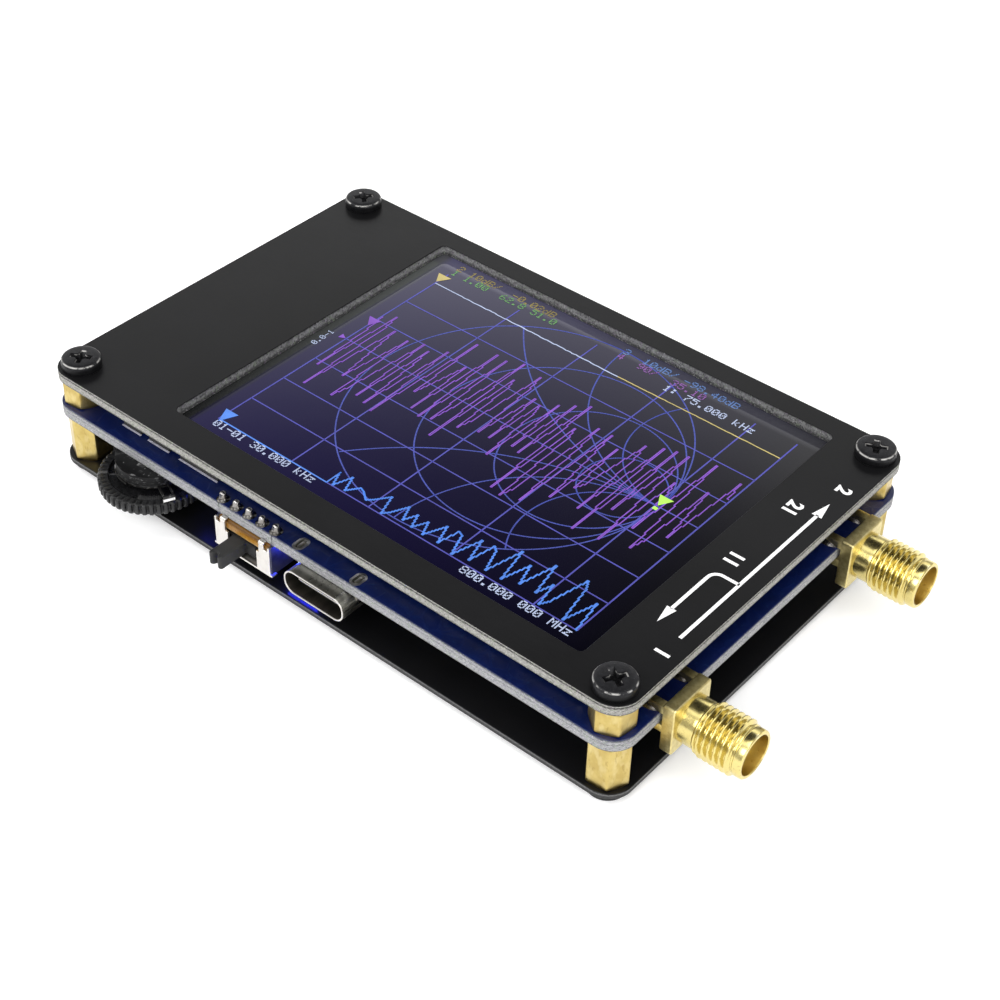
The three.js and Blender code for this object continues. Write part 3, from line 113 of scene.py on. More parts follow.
# Materials
class Finish:
    """A node material on the object's own coordinates, in millimetres."""

    def __init__(self, name, colour, roughness=0.5, metallic=0.0, specular=0.5):
        self.mat = bpy.data.materials.new(name)
        self.mat.use_nodes = True
        self.nodes, self.links = self.mat.node_tree.nodes, self.mat.node_tree.links
        self.sockets = self.nodes["Principled BSDF"].inputs
        self.sockets["Base Color"].default_value = (*colour, 1)
        self.sockets["Roughness"].default_value = roughness
        self.sockets["Metallic"].default_value = metallic
        self.sockets["Specular IOR Level"].default_value = specular
        self.last_colour = (*colour, 1)
        self.last_normal = None
        self.coords = self.node("ShaderNodeTexCoord", "Object", {})

    def feed(self, socket, value):
        """Links a socket to the output of a node, or gives it a constant."""
        if isinstance(value, bpy.types.NodeSocket):
            self.links.new(value, socket)
        else:
            socket.default_value = value

    def node(self, kind, output, inputs, **settings):
        """A new node with its settings and inputs; gives one of its outputs."""
        node = self.nodes.new(kind)
        for key, value in settings.items():
            setattr(node, key, value)
        for key, value in inputs.items():
            self.feed(node.inputs[key], value)
        return node.outputs[output]

    def scaled(self, scale):
        if scale == (1, 1, 1):
            return self.coords
        return self.node("ShaderNodeMapping", "Vector", {"Scale": scale, "Vector": self.coords})

    def noise(self, per_mm, detail=3.0, rough=0.55, stretch=(1, 1, 1)):
        return self.node("ShaderNodeTexNoise", "Fac", {
            "Scale": per_mm * 1000, "Detail": detail, "Roughness": rough, "Vector": self.scaled(stretch)})

    def cells(self, per_mm, feature="F1", stretch=(1, 1, 1)):
        inputs = {"Scale": per_mm * 1000, "Vector": self.scaled(stretch)}
        return self.node("ShaderNodeTexVoronoi", "Distance", inputs, feature=feature)

    def cracks(self, per_mm, width, soft, stretch=(1, 1, 1)):
        """One on the lines between cells, nought inside them."""
        return self.ramp(self.cells(per_mm, "DISTANCE_TO_EDGE", stretch), width, soft, 1, 0)

    def ramp(self, value, low, high, to_low=0.0, to_high=1.0):
        return self.node("ShaderNodeMapRange", "Result", {
            "Value": value, "From Min": low, "From Max": high, "To Min": to_low, "To Max": to_high})

    def maths(self, operation, a, b):
        return self.node("ShaderNodeMath", "Value", {0: a, 1: b}, operation=operation)

    def axis(self, which):
        return self.node("ShaderNodeSeparateXYZ", which, {"Vector": self.coords})

    def band(self, low, high, soft, along="Z"):
        """One between two places in millimetres, nought outside them."""
        place = self.axis(along)
        rise = self.ramp(place, (low - soft) * MM, (low + soft) * MM)
        fall = self.ramp(place, (high - soft) * MM, (high + soft) * MM, 1.0, 0.0)
        return self.maths("MULTIPLY", rise, fall)

    def worn(self, low=0.52, high=0.6):
        """One on the edges that stand out, where a finish wears first."""
        return self.ramp(self.node("ShaderNodeNewGeometry", "Pointiness", {}), low, high)

    def tint(self, mask, colour, amount=1.0):
        if amount != 1.0:
            mask = self.maths("MULTIPLY", mask, amount)
        inputs = {6: self.last_colour, 7: (*colour, 1), 0: mask}
        self.last_colour = self.node("ShaderNodeMix", 2, inputs, data_type="RGBA")
        self.feed(self.sockets["Base Color"], self.last_colour)

    def cloud(self, noise, low, high, colour, amount):
        """Tints the patches where a noise rises from low to high."""
        self.tint(self.ramp(self.noise(*noise), low, high), colour, amount)

    def rough(self, mask, low, high):
        self.feed(self.sockets["Roughness"], self.ramp(mask, 0.0, 1.0, low, high))

    def bump(self, height, depth_mm, strength=1.0):
        inputs = {"Strength": strength, "Distance": depth_mm * MM, "Height": height}
        if self.last_normal is not None:
            inputs["Normal"] = self.last_normal
        self.last_normal = self.node("ShaderNodeBump", "Normal", inputs)
        self.feed(self.sockets["Normal"], self.last_normal)

    def skin(self, noise, low, high, relief, depth_mm, strength):
        """Roughness from one noise and bump from another."""
        self.rough(self.noise(*noise), low, high)
        self.bump(self.noise(*relief), depth_mm, strength)

    def glow(self, colour, strength, mask=None):
        self.sockets["Emission Color"].default_value = (*colour, 1)
        power = strength if mask is None else self.maths("MULTIPLY", mask, strength)
        self.feed(self.sockets["Emission Strength"], power)


def speckled(name, dark, light, bands, per_mm=2.4, roughness=0.6, flat=2.6):
    """A cut laminate edge: glass fibre ends as pale and dark specks, drawn out along the layers.

    The bands are the copper and mask layers.
    """
    f = Finish(name, dark, roughness, 0.0, 0.3)
    red, green, blue = light
    layers = (1, 1, flat)
    f.cloud((per_mm, 4, 0.75, layers), 0.36, 0.6, light, 1.0)
    for low, high, soft, colour, amount in bands:
        f.tint(f.band(low, high, soft), colour, amount)
    bright, deep = tuple(min(1, c * 1.9) for c in light), tuple(c * 0.3 for c in dark)
    f.cloud((per_mm * 2.1, 2, 0.6, layers), 0.6, 0.68, bright, 0.7)
    f.cloud((per_mm * 1.6, 2, 0.6, (1, 1, flat * 0.7)), 0.42, 0.35, deep, 0.8)
    f.cloud((per_mm * 0.9, 1, 0.5, layers), 0.6, 0.68, (red * 0.7, green * 0.85, blue * 0.6), 0.5)
    f.cloud((per_mm * 1.2, 1, 0.5, (1, 1.1, flat)), 0.62, 0.7, (red * 0.8, green * 0.62, blue * 0.9), 0.5)
    f.skin((per_mm, 2), roughness - 0.12, roughness + 0.15, (per_mm * 3, 3), 0.03, 0.6)
    return f


def board_finishes(m):
    f = m["cover"] = Finish("mask_black", (0.0045, 0.0045, 0.0049), 0.3, 0.0, 0.15)
    f.cloud((0.05, 3), 0.4, 0.7, (0.0068, 0.0068, 0.0076), 0.8)
    f.cloud((9, 1), 0.74, 0.8, (0.03, 0.03, 0.032), 0.35)
    wide, fine = f.noise(0.12, 3), f.noise(3.0, 2, 0.5, (0.15, 1, 1))
    f.rough(f.maths("ADD", f.maths("MULTIPLY", wide, 0.5), f.maths("MULTIPLY", fine, 0.5)), 0.24, 0.42)
    f.bump(f.noise(1.6, 2), 0.005, 0.5)

    f = m["blue"] = Finish("mask_blue", (0.0025, 0.008, 0.062), 0.3, 0.0, 0.4)
    f.tint(f.cracks(0.42, 0.03, 0.06), (0.004, 0.014, 0.085), 0.35)
    f.cloud((0.4, 3), 0.4, 0.7, (0.002, 0.006, 0.04), 0.7)
    f.cloud((2.6, 2), 0.62, 0.7, (0.008, 0.03, 0.1), 0.4)
    f.rough(f.noise(1.5, 3), 0.22, 0.42)
    f.bump(f.cracks(0.42, 0.03, 0.06), 0.02, 0.4)

    m["cover_edge"] = speckled("edge_pale", (0.15, 0.148, 0.138), (0.34, 0.335, 0.31), [
        (COVER_TOP - 0.46, COVER_TOP - 0.2, 0.05, (0.012, 0.012, 0.012), 0.92),
        (COVER_LOW - 0.1, COVER_LOW + 0.22, 0.08, (0.045, 0.045, 0.044), 0.75)])
    m["main_edge"] = speckled("edge_pale_blue", (0.16, 0.165, 0.185), (0.34, 0.34, 0.345), [
        (MAIN_TOP - 0.25, MAIN_TOP + 0.1, 0.07, (0.035, 0.042, 0.06), 0.85),
        (MAIN_TOP - 0.72, MAIN_TOP - 0.6, 0.06, (0.06, 0.06, 0.065), 0.5),
        (MAIN_LOW - 0.1, MAIN_LOW + 0.16, 0.06, (0.06, 0.055, 0.05), 0.75)])
    m["base_edge"] = speckled("edge_dark", (0.014, 0.014, 0.0145), (0.035, 0.035, 0.036), [
        (BASE_TOP - 0.3, BASE_TOP - 0.06, 0.06, (0.13, 0.13, 0.13), 0.75)])
    m["window_wall"] = speckled("edge_milled", (0.08, 0.08, 0.082), (0.23, 0.23, 0.23), [
        (COVER_TOP - 0.2, COVER_TOP + 0.1, 0.06, (0.02, 0.02, 0.02), 0.7),
        (COVER_LOW - 0.2, COVER_LOW + 0.52, 0.14, (0.02, 0.02, 0.02), 0.8),
    ], 2.4, 0.5, 1.0)


def fastener_and_port_metals(m):
    f = m["black_steel"] = Finish("steel_black_oxide", (0.011, 0.011, 0.0125), 0.36, 0.3, 0.2)
    f.cloud((2.2, 4), 0.45, 0.75, (0.024, 0.024, 0.027), 0.7)
    f.cloud((5.5, 2), 0.66, 0.74, (0.09, 0.09, 0.09), 0.5)
    # Painted highlight: a pale line at the rim height of each head, broken up by noise, stands in for the
    # glint of light along the rim.
    rim = f.maths("ADD", f.band(COVER_TOP + 1.0, COVER_TOP + 1.13, 0.035), f.band(-0.86, -0.76, 0.03))
    f.tint(f.maths("MULTIPLY", rim, f.ramp(f.noise(1.3, 3), 0.44, 0.54)), (0.5, 0.49, 0.47), 0.75)
    # Painted shade: the lower part of each head's side, next to the board, is darkened for the shade under
    # the head.
    foot = f.maths("ADD", f.band(COVER_TOP - 0.1, COVER_TOP + 0.75, 0.12), f.band(-0.6, 0.1, 0.1))
    f.tint(foot, (0.004, 0.004, 0.0045), 0.75)
    f.skin((3.5, 4), 0.26, 0.5, (5, 3), 0.014, 0.6)

    f = m["brass"] = Finish("brass_turned", (0.56, 0.435, 0.155), 0.28, 1.0)
    f.cloud((0.55, 3), 0.42, 0.62, (0.44, 0.32, 0.095), 0.7)
    f.cloud((1.3, 2, 0.5, (1, 1, 0.5)), 0.5, 0.68, (0.66, 0.56, 0.28), 0.5)
    f.cloud((2.6, 2, 0.5, (1, 1, 0.4)), 0.58, 0.7, (0.27, 0.175, 0.045), 0.4)
    # Painted shade: dark bands on each post where it meets a board, for the shade between post and board.
    for board_face, below, above in ((BASE_TOP, 0.1, 0.4), (MAIN_LOW, 0.3, 0.1), (MAIN_TOP, 0.1, 0.25),
                                     (COVER_LOW, 0.35, 0.1)):
        f.tint(f.band(board_face - below, board_face + above, 0.22), (0.09, 0.055, 0.015), 0.8)
    f.skin((2.0, 4, 0.6, (1, 1, 0.25)), 0.22, 0.45, (7, 3, 0.6, (1, 1, 0.2)), 0.005, 0.5)

    f = m["gold"] = Finish("gold_plate", (0.68, 0.57, 0.225), 0.2, 1.0)
    f.cloud((0.35, 3), 0.45, 0.75, (0.55, 0.45, 0.16), 0.6)
    f.tint(f.worn(0.55, 0.62), (0.88, 0.82, 0.56), 0.5)
    f.cloud((3.5, 3), 0.58, 0.72, (0.34, 0.23, 0.06), 0.4)
    # Painted reflection: brown mottling on the flange stands in for the reflection of dark surroundings in
    # the gold.
    flange_painted_reflection = f.maths("MULTIPLY", f.band(*FLANGE, 0.3, "X"), f.ramp(f.noise(1.7, 4), 0.42, 0.6))
    f.tint(flange_painted_reflection, (0.3, 0.2, 0.05), 0.3)
    brushed = f.maths("MULTIPLY", f.band(*FLANGE, 0.1, "X"), 0.27)
    f.rough(f.maths("ADD", f.maths("MULTIPLY", f.noise(2.5, 4), 0.5), brushed), 0.12, 0.5)
    f.bump(f.noise(6, 3), 0.003, 0.5)

    f = m["gold_inner"] = Finish("gold_inside", (0.74, 0.58, 0.18), 0.3, 1.0)
    f.cloud((0.5, 3), 0.42, 0.7, (0.52, 0.37, 0.1), 0.7)
    f.skin((2.5, 3), 0.2, 0.42, (5, 3), 0.005, 0.5)


def white_metals(m):
    f = m["bracket"] = Finish("steel_oxide_worn", (0.035, 0.034, 0.033), 0.4, 0.8)
    # Painted highlights: a bright band at the fold and bright jagged spots on the left lip stand in for
    # glints of light on the dark steel.
    f.tint(f.band(4.6, 5.22, 0.04), (0.93, 0.92, 0.9), 1.0)
    lip = f.maths("MULTIPLY", f.band(-33.0, -30.3, 0.3, "X"), f.ramp(f.noise(1.6, 3), 0.4, 0.5))
    f.tint(lip, (0.85, 0.84, 0.82), 1.0)
    f.cloud((1.8, 3), 0.56, 0.66, (0.22, 0.22, 0.21), 0.6)
    f.skin((3, 3), 0.28, 0.5, (3, 3), 0.03, 0.6)

    f = m["nickel"] = Finish("nickel_sheet", (0.7, 0.68, 0.66), 0.3, 1.0)
    f.cloud((1.1, 4), 0.45, 0.75, (0.5, 0.48, 0.46), 0.7)
    f.skin((2.5, 4, 0.6, (1, 1, 0.2)), 0.2, 0.45, (8, 3, 0.6, (0.2, 1, 1)), 0.004, 0.6)

    f = m["bright"] = Finish("nickel_bright", (0.68, 0.655, 0.61), 0.36, 1.0)
    f.cloud((0.9, 3), 0.5, 0.75, (0.58, 0.55, 0.51), 0.7)
    f.cloud((5, 2, 0.5, (1, 1, 0.3)), 0.64, 0.74, (0.42, 0.38, 0.33), 0.4)
    f.skin((2.5, 4, 0.6, (1, 1, 0.2)), 0.24, 0.46, (8, 3, 0.6, (0.2, 1, 1)), 0.004, 0.6)

    f = m["steel"] = Finish("steel_stamped", (0.27, 0.26, 0.215), 0.28, 1.0)
    f.cloud((0.7, 4, 0.6, (1, 0.4, 1)), 0.42, 0.7, (0.13, 0.125, 0.095), 0.85)
    f.cloud((3.2, 3, 0.6, (1, 0.5, 1)), 0.6, 0.75, (0.4, 0.38, 0.3), 0.5)
    f.tint(f.worn(0.53, 0.6), (0.85, 0.85, 0.84), 0.7)
    f.skin((3, 4, 0.6, (1, 0.2, 1)), 0.18, 0.42, (9, 3, 0.6, (1, 0.15, 1)), 0.004, 0.6)

    # Painted shade: a darker copy of the sleeve's steel, used on the inside of the shell where shade falls.
    f = m["steel_inner"] = Finish("steel_inside", (0.06, 0.052, 0.042), 0.35, 0.8)
    f.cloud((0.8, 3, 0.6, (1, 0.3, 1)), 0.42, 0.7, (0.025, 0.022, 0.018), 0.8)
    f.skin((3, 3, 0.6, (1, 0.2, 1)), 0.25, 0.5, (7, 2, 0.6, (1, 0.15, 1)), 0.006, 0.5)

    f = m["solder"] = Finish("solder_grey", (0.27, 0.255, 0.24), 0.3, 1.0)
    f.cloud((0.9, 3), 0.45, 0.65, (0.13, 0.115, 0.1), 0.85)
    # Painted highlight: a lighter band near the tips of the cones.
    f.tint(f.band(MAIN_TOP + 0.75, MAIN_TOP + 1.2, 0.12), (0.6, 0.58, 0.56), 0.6)
    # Painted shade: a dark band at the foot of the solder, next to the board.
    f.tint(f.band(MAIN_TOP - 0.2, MAIN_TOP + 0.25, 0.1), (0.03, 0.03, 0.028), 0.7)
    f.skin((2, 3), 0.16, 0.4, (2.0, 2), 0.02, 0.4)

    f = m["frame_side"] = Finish("nickel_shaded", (0.12, 0.12, 0.14), 0.42, 0.9)
    f.cloud((0.9, 3), 0.45, 0.7, (0.06, 0.06, 0.075), 0.8)
    f.skin((2.5, 3), 0.34, 0.55, (6, 2), 0.006, 0.5)


def resins(m):
    f = m["resin"] = Finish("resin_black", (0.012, 0.012, 0.012), 0.5, 0.0, 0.3)
    f.cloud((0.8, 3), 0.45, 0.75, (0.022, 0.022, 0.023), 0.7)
    f.tint(f.worn(0.53, 0.6), (0.07, 0.07, 0.07), 0.5)
    f.skin((3, 3), 0.34, 0.6, (9, 3), 0.01, 0.6)

    f = m["knob"] = Finish("resin_knob", (0.008, 0.008, 0.008), 0.45, 0.0, 0.15)
    f.cloud((0.8, 3), 0.45, 0.75, (0.013, 0.013, 0.0135), 0.7)
    f.tint(f.worn(0.53, 0.6), (0.05, 0.05, 0.05), 0.5)
    f.skin((3, 3), 0.36, 0.55, (6, 3), 0.008, 0.5)

    f = m["wheel"] = Finish("resin_wheel", (0.005, 0.005, 0.0053), 0.3, 0.0, 0.2)
    f.cloud((1.2, 3), 0.45, 0.75, (0.015, 0.015, 0.016), 0.7)
    f.tint(f.worn(0.54, 0.62), (0.09, 0.09, 0.09), 0.6)
    f.skin((2, 4), 0.16, 0.42, (4, 3), 0.012, 0.5)

    f = m["hub"] = Finish("resin_hub", (0.005, 0.005, 0.0053), 0.36, 0.0, 0.2)
    f.cloud((1.3, 2, 0.5, (1, 1, 6)), 0.6, 0.65, (0.04, 0.04, 0.04), 0.7)
    f.cloud((1.9, 1, 0.5, (1, 1, 5)), 0.66, 0.7, (0.18, 0.18, 0.18), 0.7)
    f.skin((2, 4, 0.6, (1, 1, 5)), 0.22, 0.5, (2.2, 3, 0.6, (0.6, 0.6, 5)), 0.03, 0.7)

    f = m["package"] = Finish("resin_package", (0.02, 0.02, 0.021), 0.55)
    f.cloud((1.2, 4), 0.45, 0.75, (0.04, 0.04, 0.042), 0.7)
    f.skin((6, 3), 0.45, 0.65, (14, 2), 0.01, 0.6)

    f = m["laminate"] = Finish("laminate_brown", (0.25, 0.115, 0.012), 0.26, 0.0, 0.25)
    f.cloud((1.0, 3, 0.6, (1, 1, 3)), 0.42, 0.66, (0.36, 0.185, 0.03), 0.8)
    f.cloud((1.6, 2, 0.6, (0.5, 1, 3)), 0.58, 0.7, (0.4, 0.1, 0.015), 0.45)
    # Painted light: the lower edge of the laminate is lightened where light falls on its rounded rim.
    f.tint(f.band(MAIN_LOW - 1.5, MAIN_LOW - 1.05, 0.2), (0.5, 0.34, 0.14), 0.7)
    # Painted shade: the top of the laminate, under the main board, is darkened.
    f.tint(f.band(MAIN_LOW - 0.4, MAIN_LOW + 0.1, 0.22), (0.05, 0.02, 0.003), 0.8)
    f.skin((3, 3), 0.2, 0.38, (4, 3, 0.6, (1, 1, 4)), 0.012, 0.5)


def display_finishes(m):
    f = m["tray"] = Finish("tray_aluminium", (0.4, 0.41, 0.43), 0.36, 1.0)
    f.cloud((0.8, 3), 0.45, 0.7, (0.3, 0.31, 0.33), 0.6)
    f.skin((2, 3, 0.6, (0.1, 1, 1)), 0.28, 0.5, (6, 2, 0.6, (0.1, 1, 1)), 0.004, 0.5)

    f = m["lip"] = Finish("tray_lip", (0.6, 0.59, 0.68), 0.35, 0.2)
    f.cloud((1.5, 3), 0.45, 0.65, (0.4, 0.39, 0.47), 0.7)
    f.skin((2, 3), 0.25, 0.45, (4, 2), 0.006, 0.5)

    f = m["glass"] = Finish("display_glass", (0.0008, 0.0008, 0.0012), 0.08)
    f.cloud((0.02, 2), 0.4, 0.7, (0.0014, 0.0014, 0.002), 0.8)
    # Painted reflection: grey bands along the left and far edges of the glass, fading across it, stand in for
    # the reflection of the bright surroundings.
    painted_reflection_band = f.maths("MULTIPLY", f.band(-26.0, -23.9, 0.4, "X"), f.ramp(f.axis("Y"), -0.02, 0.023, 0.1, 1.0))
    f.tint(painted_reflection_band, (0.075, 0.08, 0.078), 1.0)
    painted_reflection_band = f.maths("MULTIPLY", f.band(22.0, 25.0, 0.4, "Y"), f.ramp(f.axis("X"), -0.024, 0.034, 1.0, 0.45))
    f.tint(painted_reflection_band, (0.06, 0.06, 0.068), 1.0)
    f.skin((0.3, 3), 0.04, 0.1, (5, 2), 0.0005, 0.2)
    lit = f.maths("MULTIPLY", f.band(-23.9, 40.0, 0.5, "X"), f.ramp(f.axis("X"), -0.024, 0.034, 1.0, 0.05))
    f.glow((0.12, 0.05, 1.0), 0.05, lit)

    f = m["film"] = Finish("film_amber", (0.42, 0.17, 0.03), 0.35)
    f.tint(f.cracks(0.9, 0.05, 0.1, (0.1, 1, 1)), (0.62, 0.3, 0.07), 0.8)
    f.skin((2, 3), 0.25, 0.45, (3, 2), 0.01, 0.5)


def soft_and_small(m):
    f = m["foam"] = Finish("foam_black", (0.02, 0.02, 0.02), 0.95)
    f.tint(f.ramp(f.cells(3.5), 0.2, 0.8), (0.05, 0.05, 0.05), 0.8)
    f.rough(f.noise(4, 2), 0.85, 1.0)
    f.bump(f.cells(3.5), 0.08, 0.8)

    f = m["foil"] = Finish("foil_pouch", (0.6, 0.61, 0.63), 0.38, 0.9)
    f.cloud((0.25, 4), 0.42, 0.7, (0.48, 0.49, 0.51), 0.8)
    f.skin((1.0, 4), 0.28, 0.52, (0.5, 4), 0.12, 0.6)
    f.bump(f.noise(8, 2), 0.01, 0.4)

    for key, name, base, spot in (
        ("red", "sleeve_red", (0.45, 0.015, 0.012), (0.6, 0.05, 0.04)),
        ("black_wire", "sleeve_black", (0.012, 0.012, 0.012), (0.03, 0.03, 0.03)),
    ):
        f = m[key] = Finish(name, base, 0.42)
        f.cloud((1.0, 3), 0.4, 0.7, spot, 0.8)
        f.skin((4, 3), 0.34, 0.55, (6, 2), 0.02, 0.5)

    f = m["white_resin"] = Finish("resin_white", (0.72, 0.7, 0.63), 0.45)
    f.cloud((0.9, 3), 0.42, 0.7, (0.62, 0.58, 0.48), 0.6)
    f.skin((3, 3), 0.36, 0.56, (7, 2), 0.01, 0.5)

    # The insulator is white; its tan-brown colour is painted shade and painted gold reflection from the bore
    # around it.
    f = m["ptfe"] = Finish("insulator_white", (0.5, 0.41, 0.28), 0.5)
    f.cloud((1.5, 3), 0.42, 0.7, (0.36, 0.26, 0.15), 0.7)
    f.skin((3, 3), 0.4, 0.6, (6, 2), 0.01, 0.5)

    f = m["ink"] = Finish("ink_white", (0.86, 0.86, 0.86), 0.5)
    f.cloud((3.0, 4), 0.5, 0.75, (0.72, 0.72, 0.73), 0.7)
    f.skin((5, 3), 0.42, 0.6, (8, 3), 0.01, 0.6)

    f = m["ceramic"] = Finish("ceramic_tan", (0.3, 0.2, 0.12), 0.45)
    f.cloud((2.0, 3), 0.42, 0.7, (0.4, 0.29, 0.18), 0.8)
    f.skin((5, 3), 0.35, 0.55, (9, 2), 0.01, 0.5)

    f = m["flux"] = Finish("flux_dark", (0.03, 0.032, 0.02), 0.35)
    f.cloud((2.0, 3), 0.4, 0.7, (0.07, 0.07, 0.045), 0.8)
    f.skin((4, 3), 0.25, 0.5, (4, 3), 0.03, 0.6)

    f = m["lamp"] = Finish("lamp_blue", (0.2, 0.3, 1.0), 0.25)
    f.cloud((2.0, 2), 0.4, 0.7, (0.35, 0.45, 1.0), 0.7)
    f.skin((5, 2), 0.2, 0.35, (6, 2), 0.005, 0.4)
    f.glow((0.05, 0.1, 1.0), 9.0)


def lit_lines(m):
    """Lit dots of the display: each line keeps the dot pitch of the panel."""
    for key, colour, power in (
        ("px_grid", (0.085, 0.085, 0.5), 0.7), ("px_arc", (0.07, 0.1, 0.52), 0.6),
        ("px_violet", (0.26, 0.085, 0.62), 0.75), ("px_cyan", (0.09, 0.27, 0.88), 0.8),
        ("px_yellow", (0.68, 0.56, 0.2), 0.7), ("px_amber", (0.36, 0.29, 0.09), 0.7),
        ("px_green", (0.16, 0.4, 0.12), 0.7), ("px_teal", (0.14, 0.25, 0.55), 0.75),
        ("px_purple", (0.26, 0.1, 0.38), 0.75), ("px_white", (0.5, 0.58, 0.8), 0.85),
        ("px_lime", (0.45, 0.85, 0.1), 0.95),
    ):
        f = m[key] = Finish("display_" + key, tuple(c * 0.1 for c in colour), 0.4)
        f.cloud((0.8, 2), 0.4, 0.7, tuple(c * 0.16 for c in colour), 0.7)
        waves = [f.maths("PINGPONG", f.maths("MULTIPLY", f.axis(k), 1 / (DOT * MM)), 0.5) for k in "XY"]
        dots = f.maths("MULTIPLY", *(f.ramp(wave, 0.0, 0.25, 0.55, 1.0) for wave in waves))
        shade = f.ramp(f.noise(0.35, 3), 0.3, 0.7, 0.8, 1.15)
        f.skin((1.0, 2), 0.3, 0.45, (6, 1), 0.001, 0.2)
        f.glow(colour, power, f.maths("MULTIPLY", f.ramp(dots, 0.3, 1.0, 0.7, 1.25), shade))


def make_materials():
    m = {}
    for group in (board_finishes, fastener_and_port_metals, white_metals, resins, display_finishes,
                  soft_and_small, lit_lines):
        group(m)
    return m


# Mesh building
class Build:
    """Shapes of corners and faces, gathered into one mesh."""

    def __init__(self):
        self.verts, self.faces, self.slots = [], [], []

    def add(self, shape, slot=0, place=None):
        verts, faces = shape
        base = len(self.verts)
        for p in verts:
            p = Vector(p)
            self.verts.append(place @ p if place is not None else p)
        self.faces += [tuple(base + i for i in face) for face in faces]
        self.slots += [slot] * len(faces)
        return self

    def make(self, name, materials, record_slot, *replaces, body=STACK, angle=30, weld=0.0005):
        mesh = bpy.data.meshes.new(name)
        mesh.from_pydata([p * MM for p in self.verts], [], self.faces)
        for m in materials:
            mesh.materials.append(MATERIALS[m].mat)
        mesh.polygons.foreach_set("material_index", self.slots)
        tool = bmesh.new()
        tool.from_mesh(mesh)
        bmesh.ops.remove_doubles(tool, verts=tool.verts, dist=weld * MM)
        bmesh.ops.dissolve_degenerate(tool, edges=tool.edges, dist=1e-8)
        bmesh.ops.recalc_face_normals(tool, faces=tool.faces)
        tool.to_mesh(mesh)
        tool.free()
        mesh.polygons.foreach_set("use_smooth", [True] * len(mesh.polygons))
        mesh.set_sharp_from_angle(angle=math.radians(angle))
        obj = new_object(name, mesh)
        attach(obj, body)
        if replaces:
            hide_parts(*replaces)


def circle(x, y, r, n=32):
    return [(x + r * math.cos(i * math.tau / n), y + r * math.sin(i * math.tau / n)) for i in range(n)]


def ring(r, z, sides=48):
    return [(r * math.cos(i * math.tau / sides), r * math.sin(i * math.tau / sides), z) for i in range(sides)]


def quarter(steps):
    return [i * math.pi / (2 * steps) for i in range(steps + 1)]


def rounded(length, width, r, n=8, x=0.0, y=0.0):
    pts = []
    for cx, cy, a in ((1, -1, -90), (1, 1, 0), (-1, 1, 90), (-1, -1, 180)):
        for i in range(n + 1):
            t = math.radians(a + 90 * i / n)
            px = x + cx * (length / 2 - r) + r * math.cos(t)
            pts.append((px, y + cy * (width / 2 - r) + r * math.sin(t)))
    return pts


def loft(rings, cap_start=False, cap_end=False):
    """Rings with the same number of corners, joined one to the next."""
    verts = [p for points in rings for p in points]
    n, faces = len(rings[0]), []
    for j in range(len(rings) - 1):
        for i in range(n):
            k = (i + 1) % n
            faces.append((j * n + i, j * n + k, (j + 1) * n + k, (j + 1) * n + i))
    if cap_start:
        faces.append(tuple(reversed(range(n))))
    if cap_end:
        faces.append(tuple(range(len(verts) - n, len(verts))))
    return verts, faces


def lathe(profile, sides=48, cap_start=False, cap_end=False):
    """A profile of (radius, level) turned about Z."""
    return loft([ring(r, z, sides) for r, z in profile], cap_start, cap_end)


def sheet_face(loops, z, up=True):
    """A flat face between an outer loop and its holes."""
    flat = [Vector((x, y, 0)) for loop in loops for x, y in loop]
    tris = tessellate_polygon([[Vector((x, y, 0)) for x, y in loop] for loop in loops])
    return [(p.x, p.y, z) for p in flat], [t if up else t[::-1] for t in tris]


def wall(loop_a, za, loop_b, zb):
    return loft([[(x, y, za) for x, y in loop_a], [(x, y, zb) for x, y in loop_b]])


def box(low, high, bevel=0.05, segments=2):
    tool = bmesh.new()
    bmesh.ops.create_cube(tool, size=1.0)
    for v in tool.verts:
        v.co = Vector([low[i] + (v.co[i] + 0.5) * (high[i] - low[i]) for i in range(3)])
    if bevel:
        edges = list(tool.edges)
        bmesh.ops.bevel(tool, geom=edges, offset=bevel, segments=segments, affect="EDGES", profile=0.6)
    verts = [v.co.copy() for v in tool.verts]
    tool.verts.index_update()
    faces = [tuple(v.index for v in f.verts) for f in tool.faces]
    tool.free()
    return verts, faces


def joined(*shapes):
    verts, faces = [], []
    for v, f in shapes:
        base = len(verts)
        verts += v
        faces += [tuple(base + i for i in face) for face in f]
    return verts, faces


def inset(outline, d):
    """An outline drawn in by d, with its corners mitred."""
    out, n = [], len(outline)
    for i, (x, y) in enumerate(outline):
        a, b = Vector(outline[i - 1]), Vector(outline[(i + 1) % n])
        p = Vector((x, y))
        e1, e2 = (p - a).normalized(), (b - p).normalized()
        n1, n2 = Vector((-e1.y, e1.x)), Vector((-e2.y, e2.x))
        mid = (n1 + n2)
        mid = mid.normalized() / max(0.35, mid.length / 2) if mid.length > 1e-6 else n1
        out.append((x + mid.x * d, y + mid.y * d))
    return out


def bar(outline, low, high, bevel=0.04):
    """An outline in X and Y raised from low to high, with its rims bevelled."""
    area = sum(a[0] * b[1] - b[0] * a[1] for a, b in zip([outline[-1]] + outline[:-1], outline))
    small = inset(outline, bevel if area > 0 else -bevel)
    return joined(
        sheet_face([small], high), sheet_face([small], low, False), wall(small, low, outline, low + bevel),
        wall(outline, low + bevel, outline, high - bevel), wall(outline, high - bevel, small, high))


def remap(shape, to):
    """A shape with each corner put where a function of its x, y and z says."""
    verts, faces = shape
    return [to(*p) for p in verts], faces


